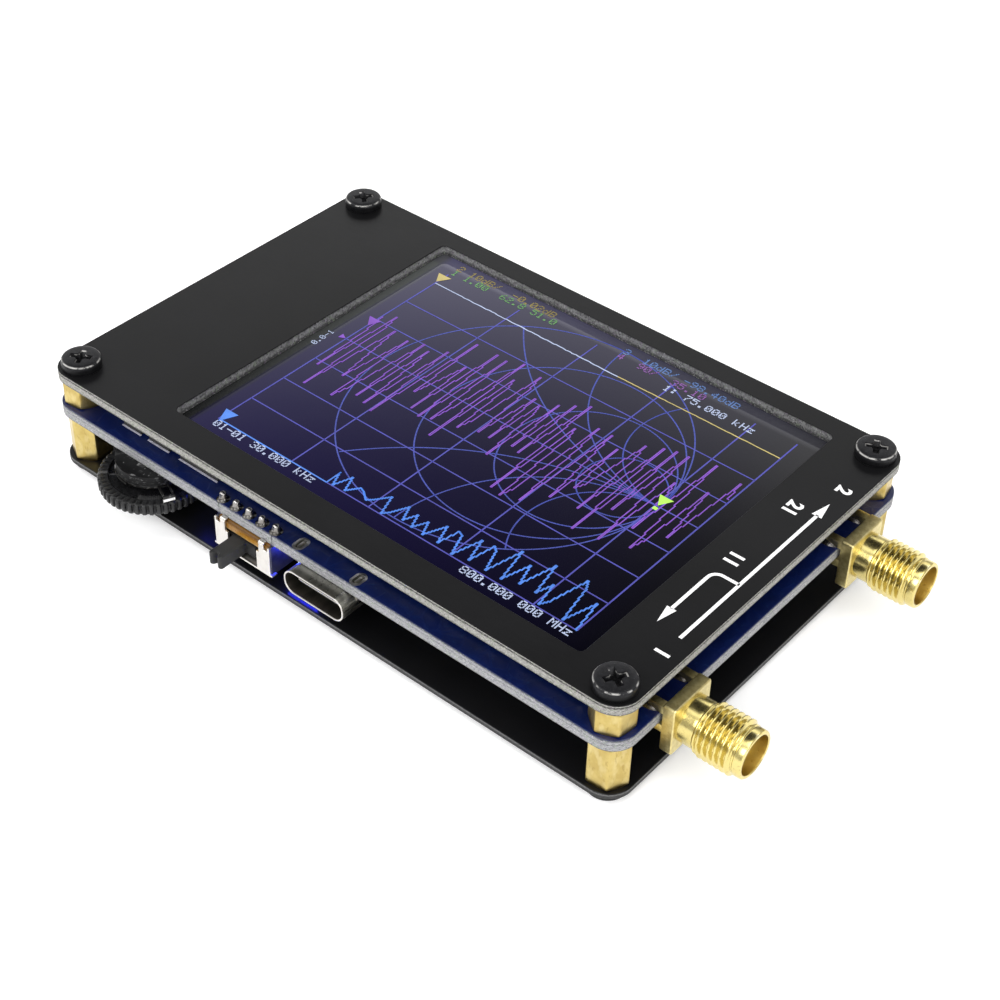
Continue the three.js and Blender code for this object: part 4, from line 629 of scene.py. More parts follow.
def cut(shape, cutters):
    """A shape less others, by Blender's exact boolean."""
    def obj_of(s):
        mesh = bpy.data.meshes.new("tool")
        mesh.from_pydata([tuple(p) for p in s[0]], [], s[1])
        t = bmesh.new()
        t.from_mesh(mesh)
        bmesh.ops.remove_doubles(t, verts=t.verts, dist=1e-5)
        bmesh.ops.recalc_face_normals(t, faces=t.faces)
        t.to_mesh(mesh)
        t.free()
        return new_object("tool", mesh)
    base = obj_of(shape)
    tools = [obj_of(c) for c in cutters]
    for t in tools:
        mod = base.modifiers.new("cut", "BOOLEAN")
        mod.operation, mod.solver, mod.object = "DIFFERENCE", "EXACT", t
    bpy.context.view_layer.update()
    done = base.evaluated_get(bpy.context.evaluated_depsgraph_get()).to_mesh()
    verts = [v.co.copy() for v in done.vertices]
    faces = [tuple(p.vertices) for p in done.polygons]
    for o in [base, *tools]:
        mesh = o.data
        bpy.data.objects.remove(o)
        bpy.data.meshes.remove(mesh)
    return verts, faces


# Boards
def board(name, replaced, low, high, finishes, holes, windows, record_slot="cover_mask"):
    """A board with softened rims; holes and windows are functions that give their loop grown by d.

    The finishes are those of the faces, of the edges and bores, and of the windows' walls.
    """
    b = Build()
    soft = 0.07
    outer = lambda d: rounded(LENGTH - 2 * d, WIDTH - 2 * d, CORNER - d, 10)
    for z, zi, up in ((high, high - soft, True), (low, low + soft, False)):
        b.add(sheet_face([loop(soft) for loop in (outer, *holes, *windows)], z, up))
        for loop in (outer, *holes, *windows):
            b.add(wall(loop(soft), z, loop(0), zi))
    for slot, loops in ((1, (outer, *holes)), (2, windows)):
        for loop in loops:
            b.add(wall(loop(0), low + soft, loop(0), high - soft), slot)
    b.make(name, finishes, record_slot, replaced, angle=28)


def round_hole(x, y, r, n=32):
    return lambda d: circle(x, y, r + d, n)[::-1]


def slot_hole(x, y, length, width):
    return lambda d: rounded(width + 2 * d, length + 2 * d, width / 2 - 0.05 + d, 4, x, y)[::-1]


def make_boards():
    bores = [round_hole(x, y, BORE) for x, y in SCREWS]
    wx, wy, wl, ww, wr = WINDOW
    window = lambda d: rounded(wl + 2 * d, ww + 2 * d, wr + d, 5, wx, wy)[::-1]
    black = ("cover", "cover_edge", "window_wall")
    board("cover_board", "top_cover", COVER_LOW, COVER_TOP, black, bores, [window])
    holes = list(bores)
    for step in (-1, 0, 1):
        holes.append(round_hole(SWITCH_X + step * PIN_STEP, PIN_Y, 0.6, 16))
    for side in (-1, 1):
        holes.append(slot_hole(SWITCH_X + side * SWITCH_LEG, PIN_Y, 1.5, 0.9))
        for y in USB_TAB_YS:
            holes.append(slot_hole(USB_X + side * USB_TAB_X, y, 1.6, 0.9))
    blue = ("blue", "main_edge", "main_edge")
    board("component_board", "main_board", MAIN_LOW, MAIN_TOP, blue, holes, [], "board_mask")
    board("base_board", "bottom_cover", 0.0, BASE_TOP, ("cover", "base_edge", "base_edge"), bores, [])


# Fasteners
def screw_head(h):
    """A pan head of height h, with a soft rim and a tapered cross recess."""
    profile = [(0.9, 0), (2.34, 0), (2.4, 0.07), (2.4, h * 0.56), (2.385, h * 0.68), (2.33, h * 0.8),
               (2.24, h * 0.9), (2.1, h * 0.955), (1.7, h * 0.985), (0.9, h)]
    corners = lambda a, b, z: [(-b, -a, z), (b, -a, z), (b, a, z), (-b, a, z)]
    wide, deep = (0.38, 1.38), (0.26, 0.85)
    wing = loft([corners(*deep, h - 0.75), corners(*wide, h), corners(*wide, h + 0.3)], True, True)
    def arm(turn):
        m = Matrix.Rotation(turn, 4, "Z")
        return [m @ Vector(p) for p in wing[0]], wing[1]
    core = lathe([(0.3, h - 0.95), (0.62, h - 0.35), (0.78, h + 0.3)], 16, True, True)
    return cut(lathe(profile, 64, True, True), [arm(0), arm(math.pi / 2), core])


def make_fasteners():
    cover, base = screw_head(1.25), screw_head(0.95)
    for i, ((x, y), share) in enumerate(zip(SCREWS, (0.66, 0.33, 0.59, 0.3)), 1):
        turn = share * math.pi / 2
        below = at(x, y, 0, math.pi, "X") @ Matrix.Rotation(turn, 4, "Z")
        for kind, head, place in (("cover", cover, at(x, y, COVER_TOP, turn)), ("base", base, below)):
            b = Build().add(head, 0, place)
            b.make(f"{kind}_screw_head_{i}", ["black_steel"], "black_steel", f"{kind}_screw_{i}", angle=34)


def hexagon_rings(start, low, high):
    """Rings of a hexagonal pillar with a bore, its corners turned off at both ends."""
    flats, edge, face, sides = 2.25, 2.55, 2.28, 96
    def radius(a):
        a = (a - start) % (math.pi / 3) - math.pi / 6
        return min(edge, flats / math.cos(a))
    angles = [start + i * math.tau / sides for i in range(sides)]
    rings = lambda f, z: [(f(a) * math.cos(a), f(a) * math.sin(a), z(a)) for a in angles]
    bore = lambda z: rings(lambda a: BORE, lambda a: z)
    rim = lambda z: rings(lambda a: min(face, radius(a)) - 0.03, lambda a: z)
    rise = lambda a: max(0.0, radius(a) - face) * 0.6 + 0.02
    return [bore(low + 0.6), bore(low), rim(low), rings(radius, lambda a: low + rise(a)),
            rings(radius, lambda a: high - rise(a)), rim(high), bore(high), bore(high - 0.6)]


def make_standoffs():
    stud, stud_length = 1.2, 4.4
    for kind, low, high, turns in (("upper", MAIN_TOP, COVER_LOW, (0.88, 0.6, 0.35, 0.2)),
                                   ("lower", BASE_TOP, MAIN_LOW, (0.57, 0.03, 0.45, 0.7))):
        for i, ((x, y), turn) in enumerate(zip(SCREWS, turns), 1):
            b = Build().add(loft(hexagon_rings(math.radians(30 + 60 * turn), low, high)), 0, at(x, y, 0))
            if kind == "upper":
                b.add(lathe([(stud, low - stud_length), (stud, low + 0.6)], 24, True, True), 0, at(x, y, 0))
            b.make(f"{kind}_hexagon_{i}", ["brass"], "brass", f"{kind}_standoff_{i}", angle=24)


# Display
class Drawing:
    """Flat strips just over the glass."""

    def __init__(self):
        self.build = Build()

    def strip(self, points, width=LINE, level=0.02):
        for a, b in zip(points, points[1:]):
            a, b = Vector(a), Vector(b)
            d = b - a
            if d.length < 1e-6:
                continue
            d = d.normalized() * width / 2
            n = Vector((-d.y, d.x))
            a, b = a - d * 0.4, b + d * 0.4
            self.shape([a + n, a - n, b - n, b + n], level)

    def shape(self, points, level=0.02):
        z = SCREEN_Z + level
        self.build.add(([(x, y, z) for x, y in points], [tuple(range(len(points)))]))

    def make(self, name, finish):
        self.build.make(name, [finish], "display_glass", weld=0.00001)


GLYPHS = {
    "0": "01110 10001 10011 10101 11001 10001 01110", "1": "00100 01100 00100 00100 00100 00100 01110",
    "2": "01110 10001 00001 00110 01000 10000 11111", "3": "01110 10001 00001 00110 00001 10001 01110",
    "4": "00010 00110 01010 10010 11111 00010 00010", "5": "11111 10000 11110 00001 00001 10001 01110",
    "6": "00110 01000 10000 11110 10001 10001 01110", "7": "11111 00001 00010 00100 01000 01000 01000",
    "8": "01110 10001 10001 01110 10001 10001 01110", "9": "01110 10001 10001 01111 00001 00010 01100",
    ".": "00000 00000 00000 00000 00000 01100 01100", "-": "00000 00000 00000 11111 00000 00000 00000",
    ":": "00000 01100 01100 00000 01100 01100 00000", "/": "00001 00010 00010 00100 01000 01000 10000",
    "k": "10000 10000 10010 10100 11000 10100 10010", "H": "10001 10001 10001 11111 10001 10001 10001",
    "z": "00000 00000 11111 00010 00100 01000 11111", "M": "10001 11011 10101 10101 10001 10001 10001",
    "d": "00001 00001 01101 10011 10001 10011 01101", "B": "11110 10001 10001 11110 10001 10001 11110",
    " ": "00000 00000 00000 00000 00000 00000 00000",
}


def write(drawing, text, x, y, cell=0.168, turn=False):
    """Plain figures in a five by seven dot face; x and y are the lower left corner."""
    place = (lambda u, v: (x - v, y + u)) if turn else (lambda u, v: (x + u, y + v))
    for k, char in enumerate(text):
        for row, bits in enumerate(GLYPHS[char].split()):
            run = None
            for col, bit in enumerate(bits + "0"):
                if bit == "1" and run is None:
                    run = col
                if bit == "0" and run is not None:
                    u0, u1 = (k * 6 + run) * cell, (k * 6 + col) * cell
                    v0, v1 = (6 - row) * cell, (7 - row) * cell - cell * 0.08
                    drawing.shape([place(u0, v0), place(u1, v0), place(u1, v1), place(u0, v1)], 0.03)
                    run = None


def arc_inside(centre, radius, clip_centre, clip_radius, steps=160):
    """The runs of a circle that lie inside another and between the display's edges."""
    runs, run = [], []
    for i in range(steps + 1):
        a = i * math.tau / steps
        p = (centre[0] + radius * math.cos(a), centre[1] + radius * math.sin(a))
        near = math.hypot(p[0] - clip_centre[0], p[1] - clip_centre[1]) <= clip_radius + 1e-6
        if near and GRID_Y[-1] <= p[1] <= 22.6:
            run.append(p)
        elif run:
            runs.append(run)
            run = []
    if run:
        runs.append(run)
    return runs


def turning_points(rng, start, end, gap, highs, lows):
    """Where a restless trace turns: up and down by turns, at times with a notch on the way."""
    points, x, up = [], start, True
    while x < end:
        points.append((x, rng.uniform(*(highs(x) if up else lows(x)))))
        if rng.random() < 0.25:
            span = highs(x)[1] - lows(x)[0]
            points.append((x + gap[0], points[-1][1] + (-1 if up else 1) * rng.uniform(0.05, 0.2) * span))
            x += gap[0]
        x += rng.uniform(*gap)
        up = not up
    return points


def stepped(points):
    """A trace as a panel shows it: an upright run in each column of dots."""
    out = []
    for (x0, y0), (x1, y1) in zip(points, points[1:]):
        n = max(1, round((x1 - x0) / DOT))
        for i in range(n):
            x = x0 + (x1 - x0) * i / n
            out += [(x, y0 + (y1 - y0) * i / n), (x, y0 + (y1 - y0) * (i + 1) / n)]
    return out + [points[-1]]


def make_grid():
    grid = Drawing()
    for x in GRID_X:
        grid.strip([(x, GRID_Y[-1]), (x, 21.4 if x > 0 else GRID_Y[0] + 2.6)], 0.19)
    for y in GRID_Y[1:]:
        grid.strip([(GRID_X[0], y), (GRID_X[-1], y)])
    grid.make("screen_grid", "px_grid")

    chart = Drawing()
    pole, middle, big = (26.09, 1.82), (5.32, 1.82), 20.77
    circles = [((pole[0] - big * share, pole[1]), big * share, 160) for share in (1.0, 0.75, 0.5, 0.25)]
    for k in (2.0, 1.0, 0.5):
        circles += [((pole[0], pole[1] + hand * big * k), big * k, 300) for hand in (-1, 1)]
    for centre, radius, steps in circles:
        for run in arc_inside(centre, radius, middle, big, steps):
            chart.strip(run, level=0.012)
    chart.make("screen_chart", "px_arc")


def make_traces():
    """Two restless traces of seeded draws, and a quiet line in two colours."""
    rng = random.Random(7)
    left, right, base, rise = GRID_X[0] + 0.2, GRID_X[-1], GRID_Y[-1], -4.3
    points = turning_points(rng, left, right, (0.45, 1.05), lambda x: (6.2, 12.4), lambda x: (-8.8, -0.4))
    upper = Drawing()
    upper.strip(stepped(points), 0.15, 0.03)
    upper.make("screen_trace_upper", "px_violet")

    reach = lambda x: 2.6 + 4.9 * (x - rise) / (right - rise)
    highs, lows = lambda x: (base + reach(x) * 0.5, base + reach(x)), lambda x: (base, base + reach(x) * 0.25)
    hills = turning_points(rng, rise, right - 0.6, (0.6, 1.25), highs, lows)
    low = Drawing()
    low.strip([(left, base), (rise, base)] + stepped([(rise, base)] + hills + [(right, base)]), 0.19, 0.035)
    low.shape([(-22.3, -17.6), (-21.3, -19.9), (-20.3, -17.6)], 0.04)
    low.make("screen_trace_lower", "px_cyan")

    quiet = Drawing()
    line = [(-21.6 + i * 0.5, 18.2 - i * 0.0045 + rng.uniform(-0.06, 0.06) * (i > 8)) for i in range(60)]
    quiet.strip(line, level=0.035)
    quiet.make("screen_trace_top_pale", "px_white")
    far = Drawing()
    end = [(8.4 + i * 0.5, 17.93 + rng.uniform(-0.03, 0.03)) for i in range(46)]
    far.strip([line[-1]] + end + [(31.2, 17.9)], level=0.035)
    far.shape([(-22.8, 20.25), (-21.75, 18.5), (-20.7, 20.25)], 0.04)
    far.make("screen_trace_top", "px_yellow")


def make_screen():
    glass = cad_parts["lcd_glass"]
    glass.data.materials.clear()
    glass.data.materials.append(MATERIALS["glass"].mat)
    make_grid()
    make_traces()

    marks = Drawing()
    marks.shape([(-22.8, 7.3), (-21.6, 5.6), (-20.9, 7.3)], 0.04)
    marks.shape([(-22.6, 2.3), (-21.7, 1.8), (-22.6, 1.4)], 0.04)
    marks.make("screen_marks_violet", "px_violet")
    lime = Drawing()
    lime.shape([(24.8, 3.65), (25.75, 1.9), (26.7, 3.65)], 0.05)
    lime.shape([(25.5, 1.6), (25.5, 1.1), (26.1, 1.1), (26.1, 1.6)], 0.05)
    lime.make("screen_marker", "px_lime")

    for colour, rows in (
        ("amber", [("2 10dB/  -0.02dB", -21.6, 22.2)]),
        ("green", [("1 1.00  62.8 51.0", -21.6, 21.0)]),
        ("teal", [("3  10dB/ -98.40dB", 5.3, 22.1)]),
        ("purple", [("4  90/  35.10", 5.3, 20.85)]),
        ("white", [("1: 75.000 kHz", 13.3, 19.45), ("01-01 30.000 kHz", -21.5, -20.75),
                   ("800.000 000 MHz", 16.2, -20.8), ("0.0-1", -23.6, -1.6, 0.12, True)]),
    ):
        d = Drawing()
        for row in rows:
            write(d, *row)
        d.make("screen_figures_" + colour, "px_" + colour)


# Print on the cover
def make_print():
    """Two arrows between the ports, and plain numbers beside them."""
    z = COVER_TOP + 0.006
    b = Build()
    flat = lambda points: b.add(([(x, y, z) for x, y in points], [tuple(range(len(points)))]))
    half, head, bend = 0.21, 0.62, 1.15
    long_x, back_x, turn_x = 40.68, 37.45, 38.6
    flat([(long_x - half, -14.6), (long_x + half, -14.6), (long_x + half, 10.9), (long_x - half, 10.9)])
    flat([(long_x - head, 10.7), (long_x + head, 10.7), (long_x, 13.4)])
    path = [(long_x, -4.06), (turn_x, -4.06)]
    path += [(turn_x - bend * math.sin(t), -5.21 + bend * math.cos(t)) for t in quarter(8)[1:]]
    path += [(back_x, -11.7)]
    left, right = [], []
    for i, p in enumerate(path):
        a, c = Vector(path[max(0, i - 1)]), Vector(path[min(len(path) - 1, i + 1)])
        d = (c - a).normalized() * half
        left.append((p[0] - d.y, p[1] + d.x))
        right.append((p[0] + d.y, p[1] - d.x))
    for i in range(len(path) - 1):
        flat([left[i], right[i], right[i + 1], left[i + 1]])
    flat([(back_x - 0.6, -11.6), (back_x, -14.2), (back_x + 0.6, -11.6)])
    b.make("print_arrows", ["ink"], "white_resin")
    for name, text, x, y in (("print_near_port", "1", 39.75, -16.9), ("print_far_port", "2", 39.75, 17.0),
                             ("print_return", "11", 37.1, 0.15), ("print_through", "21", 37.1, 11.3)):
        curve = bpy.data.curves.new(name, "FONT")
        curve.body, curve.size, curve.offset = text, 2.45, 0.085
        tool = new_object(name, curve)
        bpy.context.view_layer.update()
        mesh = tool.evaluated_get(bpy.context.evaluated_depsgraph_get()).to_mesh()
        shape = ([v.co.copy() for v in mesh.vertices], [tuple(p.vertices) for p in mesh.polygons])
        bpy.data.objects.remove(tool)
        bpy.data.curves.remove(curve)
        Build().add(shape, 0, at(x, y, z, -math.pi / 2)).make(name, ["ink"], "white_resin")


# Ports
def thread_barrel():
    """The outside of the shell from the flange to the lip with a real helix for the thread, and its bore."""
    sides, pitch, start, end = 72, 0.7, 3.4, 8.3
    root, crest, neck, neck_end = 2.75, 3.15, 2.74, 3.3
    levels = [0.2 + i * 0.4 for i in range(8)] + [3.25]
    levels += [start + i * pitch / 12 for i in range(int((end - start) / pitch * 12) + 1)]
    def radius(z, share):
        if z < neck_end:
            return neck
        phase = ((z - start) / pitch - share) % 1.0
        tri = 1 - abs(2 * phase - 1)
        fade = min(1.0, (z - start) / 0.5, (end - z) / 0.45)
        return root - 0.03 + (crest - root + 0.03) * min(1.0, max(0.0, tri * 1.35 - 0.1)) * max(0.0, fade)
    rings = []
    for z in levels:
        spots = [(radius(z, i / sides), i * math.tau / sides) for i in range(sides)]
        rings.append([(r * math.cos(a), r * math.sin(a), z) for r, a in spots])
    lip = ((2.72, 8.32), (2.79, 8.42), (2.8, 8.5), (2.8, 9.1), (2.76, 9.27), (2.66, 9.37), (2.55, 9.4),
           (2.42, 9.4), (2.34, 9.34))
    bore = ((2.34, 9.34), (2.32, 9.2), (2.32, 7.55), (2.1, 7.5), (2.1, 0.8), (0.7, 0.8))
    return loft(rings + [ring(r, z, sides) for r, z in lip]), lathe(bore, sides)


def make_ports():
    barrel, bore = thread_barrel()
    flange, leg_half, leg_end = 6.4, 0.5, -4.4
    sleeve = lathe([(0.95, 0.8), (1.8, 0.8), (1.8, 7.42), (1.72, 7.5), (1.02, 7.5), (0.95, 7.42)])
    pin = lathe([(0.3, 0.0), (0.62, 0.05), (0.62, 7.38), (0.55, 7.5), (0.45, 7.5), (0.38, 7.42), (0.38, 5.3),
                 (0.05, 5.1)], 32, True, True)
    tail = box((-0.3, -0.4, -2.6), (0.15, 0.4, 0.3), 0.05)
    for i, y in enumerate(PORTS, 1):
        lay = at(PORT_X, y, PORT_Z, math.pi / 2, "Y")
        b = Build().add(barrel, 0, lay).add(bore, 1, lay)
        b.add(bar(rounded(flange, flange, 0.35, 4), 0.0, 1.5, 0.12), 0, lay)
        for hand in (-1, 1):
            leg = hand * PORT_LEG
            for low, high in ((-2.9, -1.9), (-0.3, 0.7)):
                b.add(box((low, leg - leg_half, leg_end), (high, leg + leg_half, 0.2), 0.09), 0, lay)
        b.make(f"port_barrel_{i}", ["gold", "gold_inner"], "gold", f"port_shell_{i}")
        c = Build().add(sleeve, 0, lay)
        c.make(f"port_dielectric_{i}", ["ptfe"], "white_resin", f"port_insulator_{i}")
        c = Build().add(pin, 0, lay).add(tail, 0, lay)
        c.make(f"port_socket_{i}", ["gold"], "gold", f"port_contact_{i}")
        s = Build()
        rng = random.Random(10 + i)
        for hand in (-1, 1):
            for z, up in ((MAIN_TOP, 1), (MAIN_LOW, -1)):
                s.add(solder_run(rng, up), 0, at(PORT_X - 2.35, y + hand * PORT_LEG, z))
        s.make(f"port_solder_{i}", ["solder"], "nickel", angle=50)


def solder_run(rng, up):
    """A ragged fillet of solder along a leg: a low mound about 4 mm long and 2 mm wide."""
    rings, n = [], 36
    knots = [rng.uniform(-0.16, 0.12) for _ in range(9)]
    mound_profile = ((1.0, 0.0), (0.94, 0.12), (0.82, 0.26), (0.66, 0.36), (0.45, 0.5), (0.2, 0.56))
    for j, (k, h) in enumerate(mound_profile):
        mound = []
        for i in range(n):
            a = i * math.tau / n
            s = i * 9 / n
            q = knots[int(s) % 9] + (knots[(int(s) + 1) % 9] - knots[int(s) % 9]) * (s - int(s))
            wob = 1 + q * (1 - j / 7) + rng.uniform(-0.02, 0.02)
            mound.append((2.0 * k * wob * math.cos(a), 0.95 * k * wob * math.sin(a), up * h * (1 + 1.2 * q)))
        rings.append(mound)
    return loft(rings, True, True)


# USB-C socket
def make_usb():
    zc, back, mouth = MAIN_LOW - USB_HEIGHT / 2, USB_FRONT + USB_DEPTH, USB_FRONT + 0.1
    deep = back - 0.3
    def hoop(d, y):
        outline = rounded(USB_LENGTH - 2 * d, USB_HEIGHT - 2 * d, max(0.2, 1.45 - d), 10)
        return [(USB_X + px, y, zc + pz) for px, pz in outline]
    outside = (1.3, back), (0.35, back), (0.1, back - 0.06), (0.0, deep), (0.0, mouth)
    rim = ((0.0, mouth), (0.02, USB_FRONT + 0.03), (0.06, USB_FRONT), (0.16, USB_FRONT),
           (0.2, USB_FRONT + 0.03), (0.22, mouth))
    inside = (0.22, mouth), (0.3, USB_FRONT + 0.8), (0.3, deep), (1.3, deep)
    b = Build()
    # The sheet is steel all over: the front rim takes the bright nickel as a painted highlight, and the
    # inside the darker steel_inner as painted shade.
    for slot, profile in ((0, outside), (2, rim), (3, inside)):
        b.add(loft([hoop(*p) for p in profile], profile is outside, profile is inside), slot)
    tabs = [(USB_X + side * USB_TAB_X, y) for side in (-1, 1) for y in USB_TAB_YS]
    for x, y in tabs:
        b.add(box((x - 0.15, y - 0.5, zc + 0.43), (x + 0.15, y + 0.5, MAIN_LOW + 1.6), 0.05), 2)
    # The seam of the folded sheet and the pressed mark across it
    for x, y0, y1 in ((0.04, USB_FRONT + 0.3, back - 0.5), (3.2, USB_FRONT + 1.28, USB_FRONT + 1.36)):
        b.add(box((USB_X - x, y0, MAIN_LOW - 0.02), (USB_X + x, y1, MAIN_LOW - 0.004), 0.0), 1)
    b.make("usb_sleeve", ["steel", "resin", "bright", "steel_inner"], "socket_steel", "usb_shell")

    t = Build()
    tip = USB_FRONT + 1.0
    blade = rounded(6.7, deep - tip, 0.5, 5, USB_X, (tip + deep) / 2)
    t.add(bar(blade, zc - 0.35, zc + 0.35, 0.08))
    block = bar(rounded(USB_LENGTH - 1.2, USB_HEIGHT - 1.2, 0.85, 6), 0, 2.0, 0.1)
    t.add(remap(block, lambda x, y, z: (USB_X + x, deep - z, zc + y)))
    for face in (-1, 1):
        for k in range(12):
            x, start = USB_X + (k - 5.5) * 0.5, USB_FRONT + 1.25 + 0.15 * (k % 3 == 0)
            z0, z1 = sorted((zc + face * 0.34, zc + face * 0.37))
            t.add(box((x - 0.13, start, z0), (x + 0.13, USB_FRONT + 4.6, z1), 0.0), 1)
    t.add(box((USB_X - 3.1, USB_FRONT + 0.94, zc - 0.06), (USB_X + 3.1, USB_FRONT + 1.05, zc + 0.06), 0.0), 2)
    t.make("usb_blade", ["resin", "gold", "bright"], "black_resin", "usb_tongue")

    # Plated slots with the tab soldered in each
    rims = Build()
    for x, y in tabs:
        outer, inner = rounded(1.5, 2.25, 0.74, 8, x, y), rounded(0.86, 1.56, 0.42, 8, x, y)
        for z, up in ((MAIN_TOP, 1), (MAIN_LOW, -1)):
            rims.add(wall(outer, z, inner, z + up * 0.05))
            rims.add(wall(inner, z + up * 0.05, inner, z - up * 0.35))
        rims.add(sheet_face([rounded(0.88, 1.58, 0.43, 8, x, y)], MAIN_TOP - 0.3), 1)
    rims.make("slot_rims", ["nickel", "flux"], "nickel")


# Small parts
def chip(b, size, height, place):
    """A body with tinned ends and a solder foot at each, hung under the board."""
    length, width = size, size * 0.5
    b.add(box((-length * 0.3, -width / 2, -height), (length * 0.3, width / 2, -0.02), 0.03, 1), 0, place)
    for end in (-1, 1):
        x0, x1 = sorted((end * length * 0.28, end * length * 0.5))
        b.add(box((x0, -width / 2 - 0.01, -height - 0.01), (x1, width / 2 + 0.01, -0.01), 0.05, 1), 1, place)
        foot = lambda u, w, h: [(end * u, -w, 0), (end * u, w, 0), (end * u, w, -h), (end * u, -w, -h)]
        feet = [foot(length * 0.45, width * 0.5, height * 0.6),
                foot(length * 0.58, width * 0.56, height * 0.22), foot(length * 0.7, width * 0.6, 0.02)]
        b.add(loft(feet, True, True), 2, place)


def make_chips():
    """Small capacitors and resistors under the main board, in rows."""
    rng = random.Random(23)
    kinds = {"capacitors": Build(), "resistors": Build()}
    # Start of the row in X and Y, step in X and Y, count, kind and length
    rows = [
        (5.9, -18.7, 1.8, 0, 5, "capacitors", 1.0), (5.9, -6.6, 1.8, 0, 5, "resistors", 1.0),
        (4.5, -16.5, 0, 2.0, 5, "capacitors", 1.0), (15.8, -16.5, 0, 1.9, 5, "capacitors", 1.0),
        (6.2, -4.4, 0, 1.9, 3, "resistors", 1.0), (14.3, -4.4, 0, 1.9, 3, "capacitors", 1.0),
        (7.2, 3.4, 0, 1.9, 3, "capacitors", 1.0), (13.2, 3.4, 0, 1.9, 3, "resistors", 1.0),
        (19.0, -13.6, 2.3, 0, 8, "resistors", 1.0), (19.0, 12.6, 2.3, 0, 8, "capacitors", 1.0),
        (-30.0, 21.6, 2.4, 0, 7, "resistors", 1.0), (-12.6, 21.6, 2.7, 0, 5, "capacitors", 1.6),
        (10.9, -23.4, 0, 1.4, 3, "capacitors", 1.0), (24.4, -23.2, 0, 1.6, 3, "capacitors", 1.6),
        (-35.4, -14.5, 0, 3.2, 5, "resistors", 1.0), (-35.4, 3.0, 0, 3.2, 4, "capacitors", 1.6),
        (39.0, -8.6, 0, 2.6, 7, "capacitors", 1.0), (-3.9, -22.5, 0, 0.1, 1, "resistors", 1.0),
    ]
    for x, y, dx, dy, count, kind, size in rows:
        height = size * (0.5 if kind == "capacitors" else 0.33)
        for k in range(count):
            turn = rng.uniform(-0.04, 0.04) + (math.pi / 2 if dx else 0)
            chip(kinds[kind], size, height, at(x + dx * k, y + dy * k, MAIN_LOW, turn))
    for kind, body in (("capacitors", "ceramic"), ("resistors", "package")):
        kinds[kind].make("chip_" + kind, [body, "nickel", "solder"], "package_resin")


# Slide switch
def make_switch_case(x0, front, low, plate):
    half, sheet, back = 4.35, 0.3, front + 4.4
    shoulder, top = MAIN_LOW - 0.6, MAIN_LOW - 0.1
    right = [(half, low), (half, top), (half - 0.28, top), (half - 0.3, shoulder + 0.1),
             (half - 0.42, shoulder), (3.55, shoulder), (3.45, shoulder + 0.1), (3.45, MAIN_LOW),
             (2.65, MAIN_LOW), (2.65, plate + 0.1), (2.55, plate)]
    outline = right + [(-x, z) for x, z in right[::-1]]
    slot = box((-2.3, low + 0.3, -1), (2.3, plate + 0.2, 1), 0.0)
    b = Build()
    b.add(remap(cut(bar(outline, 0.0, sheet, 0.06), [slot]), lambda x, y, z: (x0 + x, front + z, y)))
    b.add(box((x0 - half + 0.3, front + sheet, low), (x0 + half - 0.3, back, low + sheet), 0.06))
    leg = [(0.45, top), (0.45, MAIN_TOP + 0.85), (0.3, MAIN_TOP + 0.9), (-0.3, MAIN_TOP + 0.9),
           (-0.45, MAIN_TOP + 0.85), (-0.45, top)]
    side_line = [(front + sheet, low), (back, low), (back, top)]
    side_line += [(PIN_Y + y, z) for y, z in leg] + [(front + sheet, top)]
    # Each tab bends back over the laminate and stops at the board's edge
    bend = [(front + 0.3 - 0.3 * math.cos(a), MAIN_LOW + 0.3 * math.sin(a)) for a in quarter(6)]
    board_edge = -WIDTH / 2
    bend += [(board_edge - 0.12, MAIN_LOW + 0.3), (board_edge - 0.1, MAIN_LOW + 0.2),
             (board_edge - 0.1, MAIN_LOW), (front + 0.3, MAIN_LOW)]
    for side in (-1, 1):
        b.add(remap(bar(side_line, 0.0, sheet, 0.06), lambda x, y, z: (x0 + side * (half - z), x, y)), 1)
        tab = bar(bend, side * 3.05 - 0.4, side * 3.05 + 0.4, 0.05)
        b.add(remap(tab, lambda x, y, z: (x0 + z, x, y)))
        foot = sorted((side * (half - 0.25), side * (half + 0.28)))
        b.add(box((x0 + foot[0], front + 0.02, low + 0.01), (x0 + foot[1], front + 0.9, low + 0.25), 0.1, 3))
    b.make("switch_case", ["bright", "frame_side"], "nickel", "switch_frame")

    # The laminate has round front rims
    r, near = 0.4, front + sheet + 0.02
    rim = [(back, plate), (back, MAIN_LOW - 0.02)]
    rim += [(near + r - r * math.sin(a), MAIN_LOW - 0.02 - r + r * math.cos(a)) for a in quarter(6)]
    rim += [(near + r - r * math.cos(a), plate + r - r * math.sin(a)) for a in quarter(6)]
    s = Build().add(remap(bar(rim, -4.03, 4.03, 0.08), lambda x, y, z: (x0 + z, x, y)))
    s.make("switch_laminate", ["laminate"], "laminate", "switch_base")


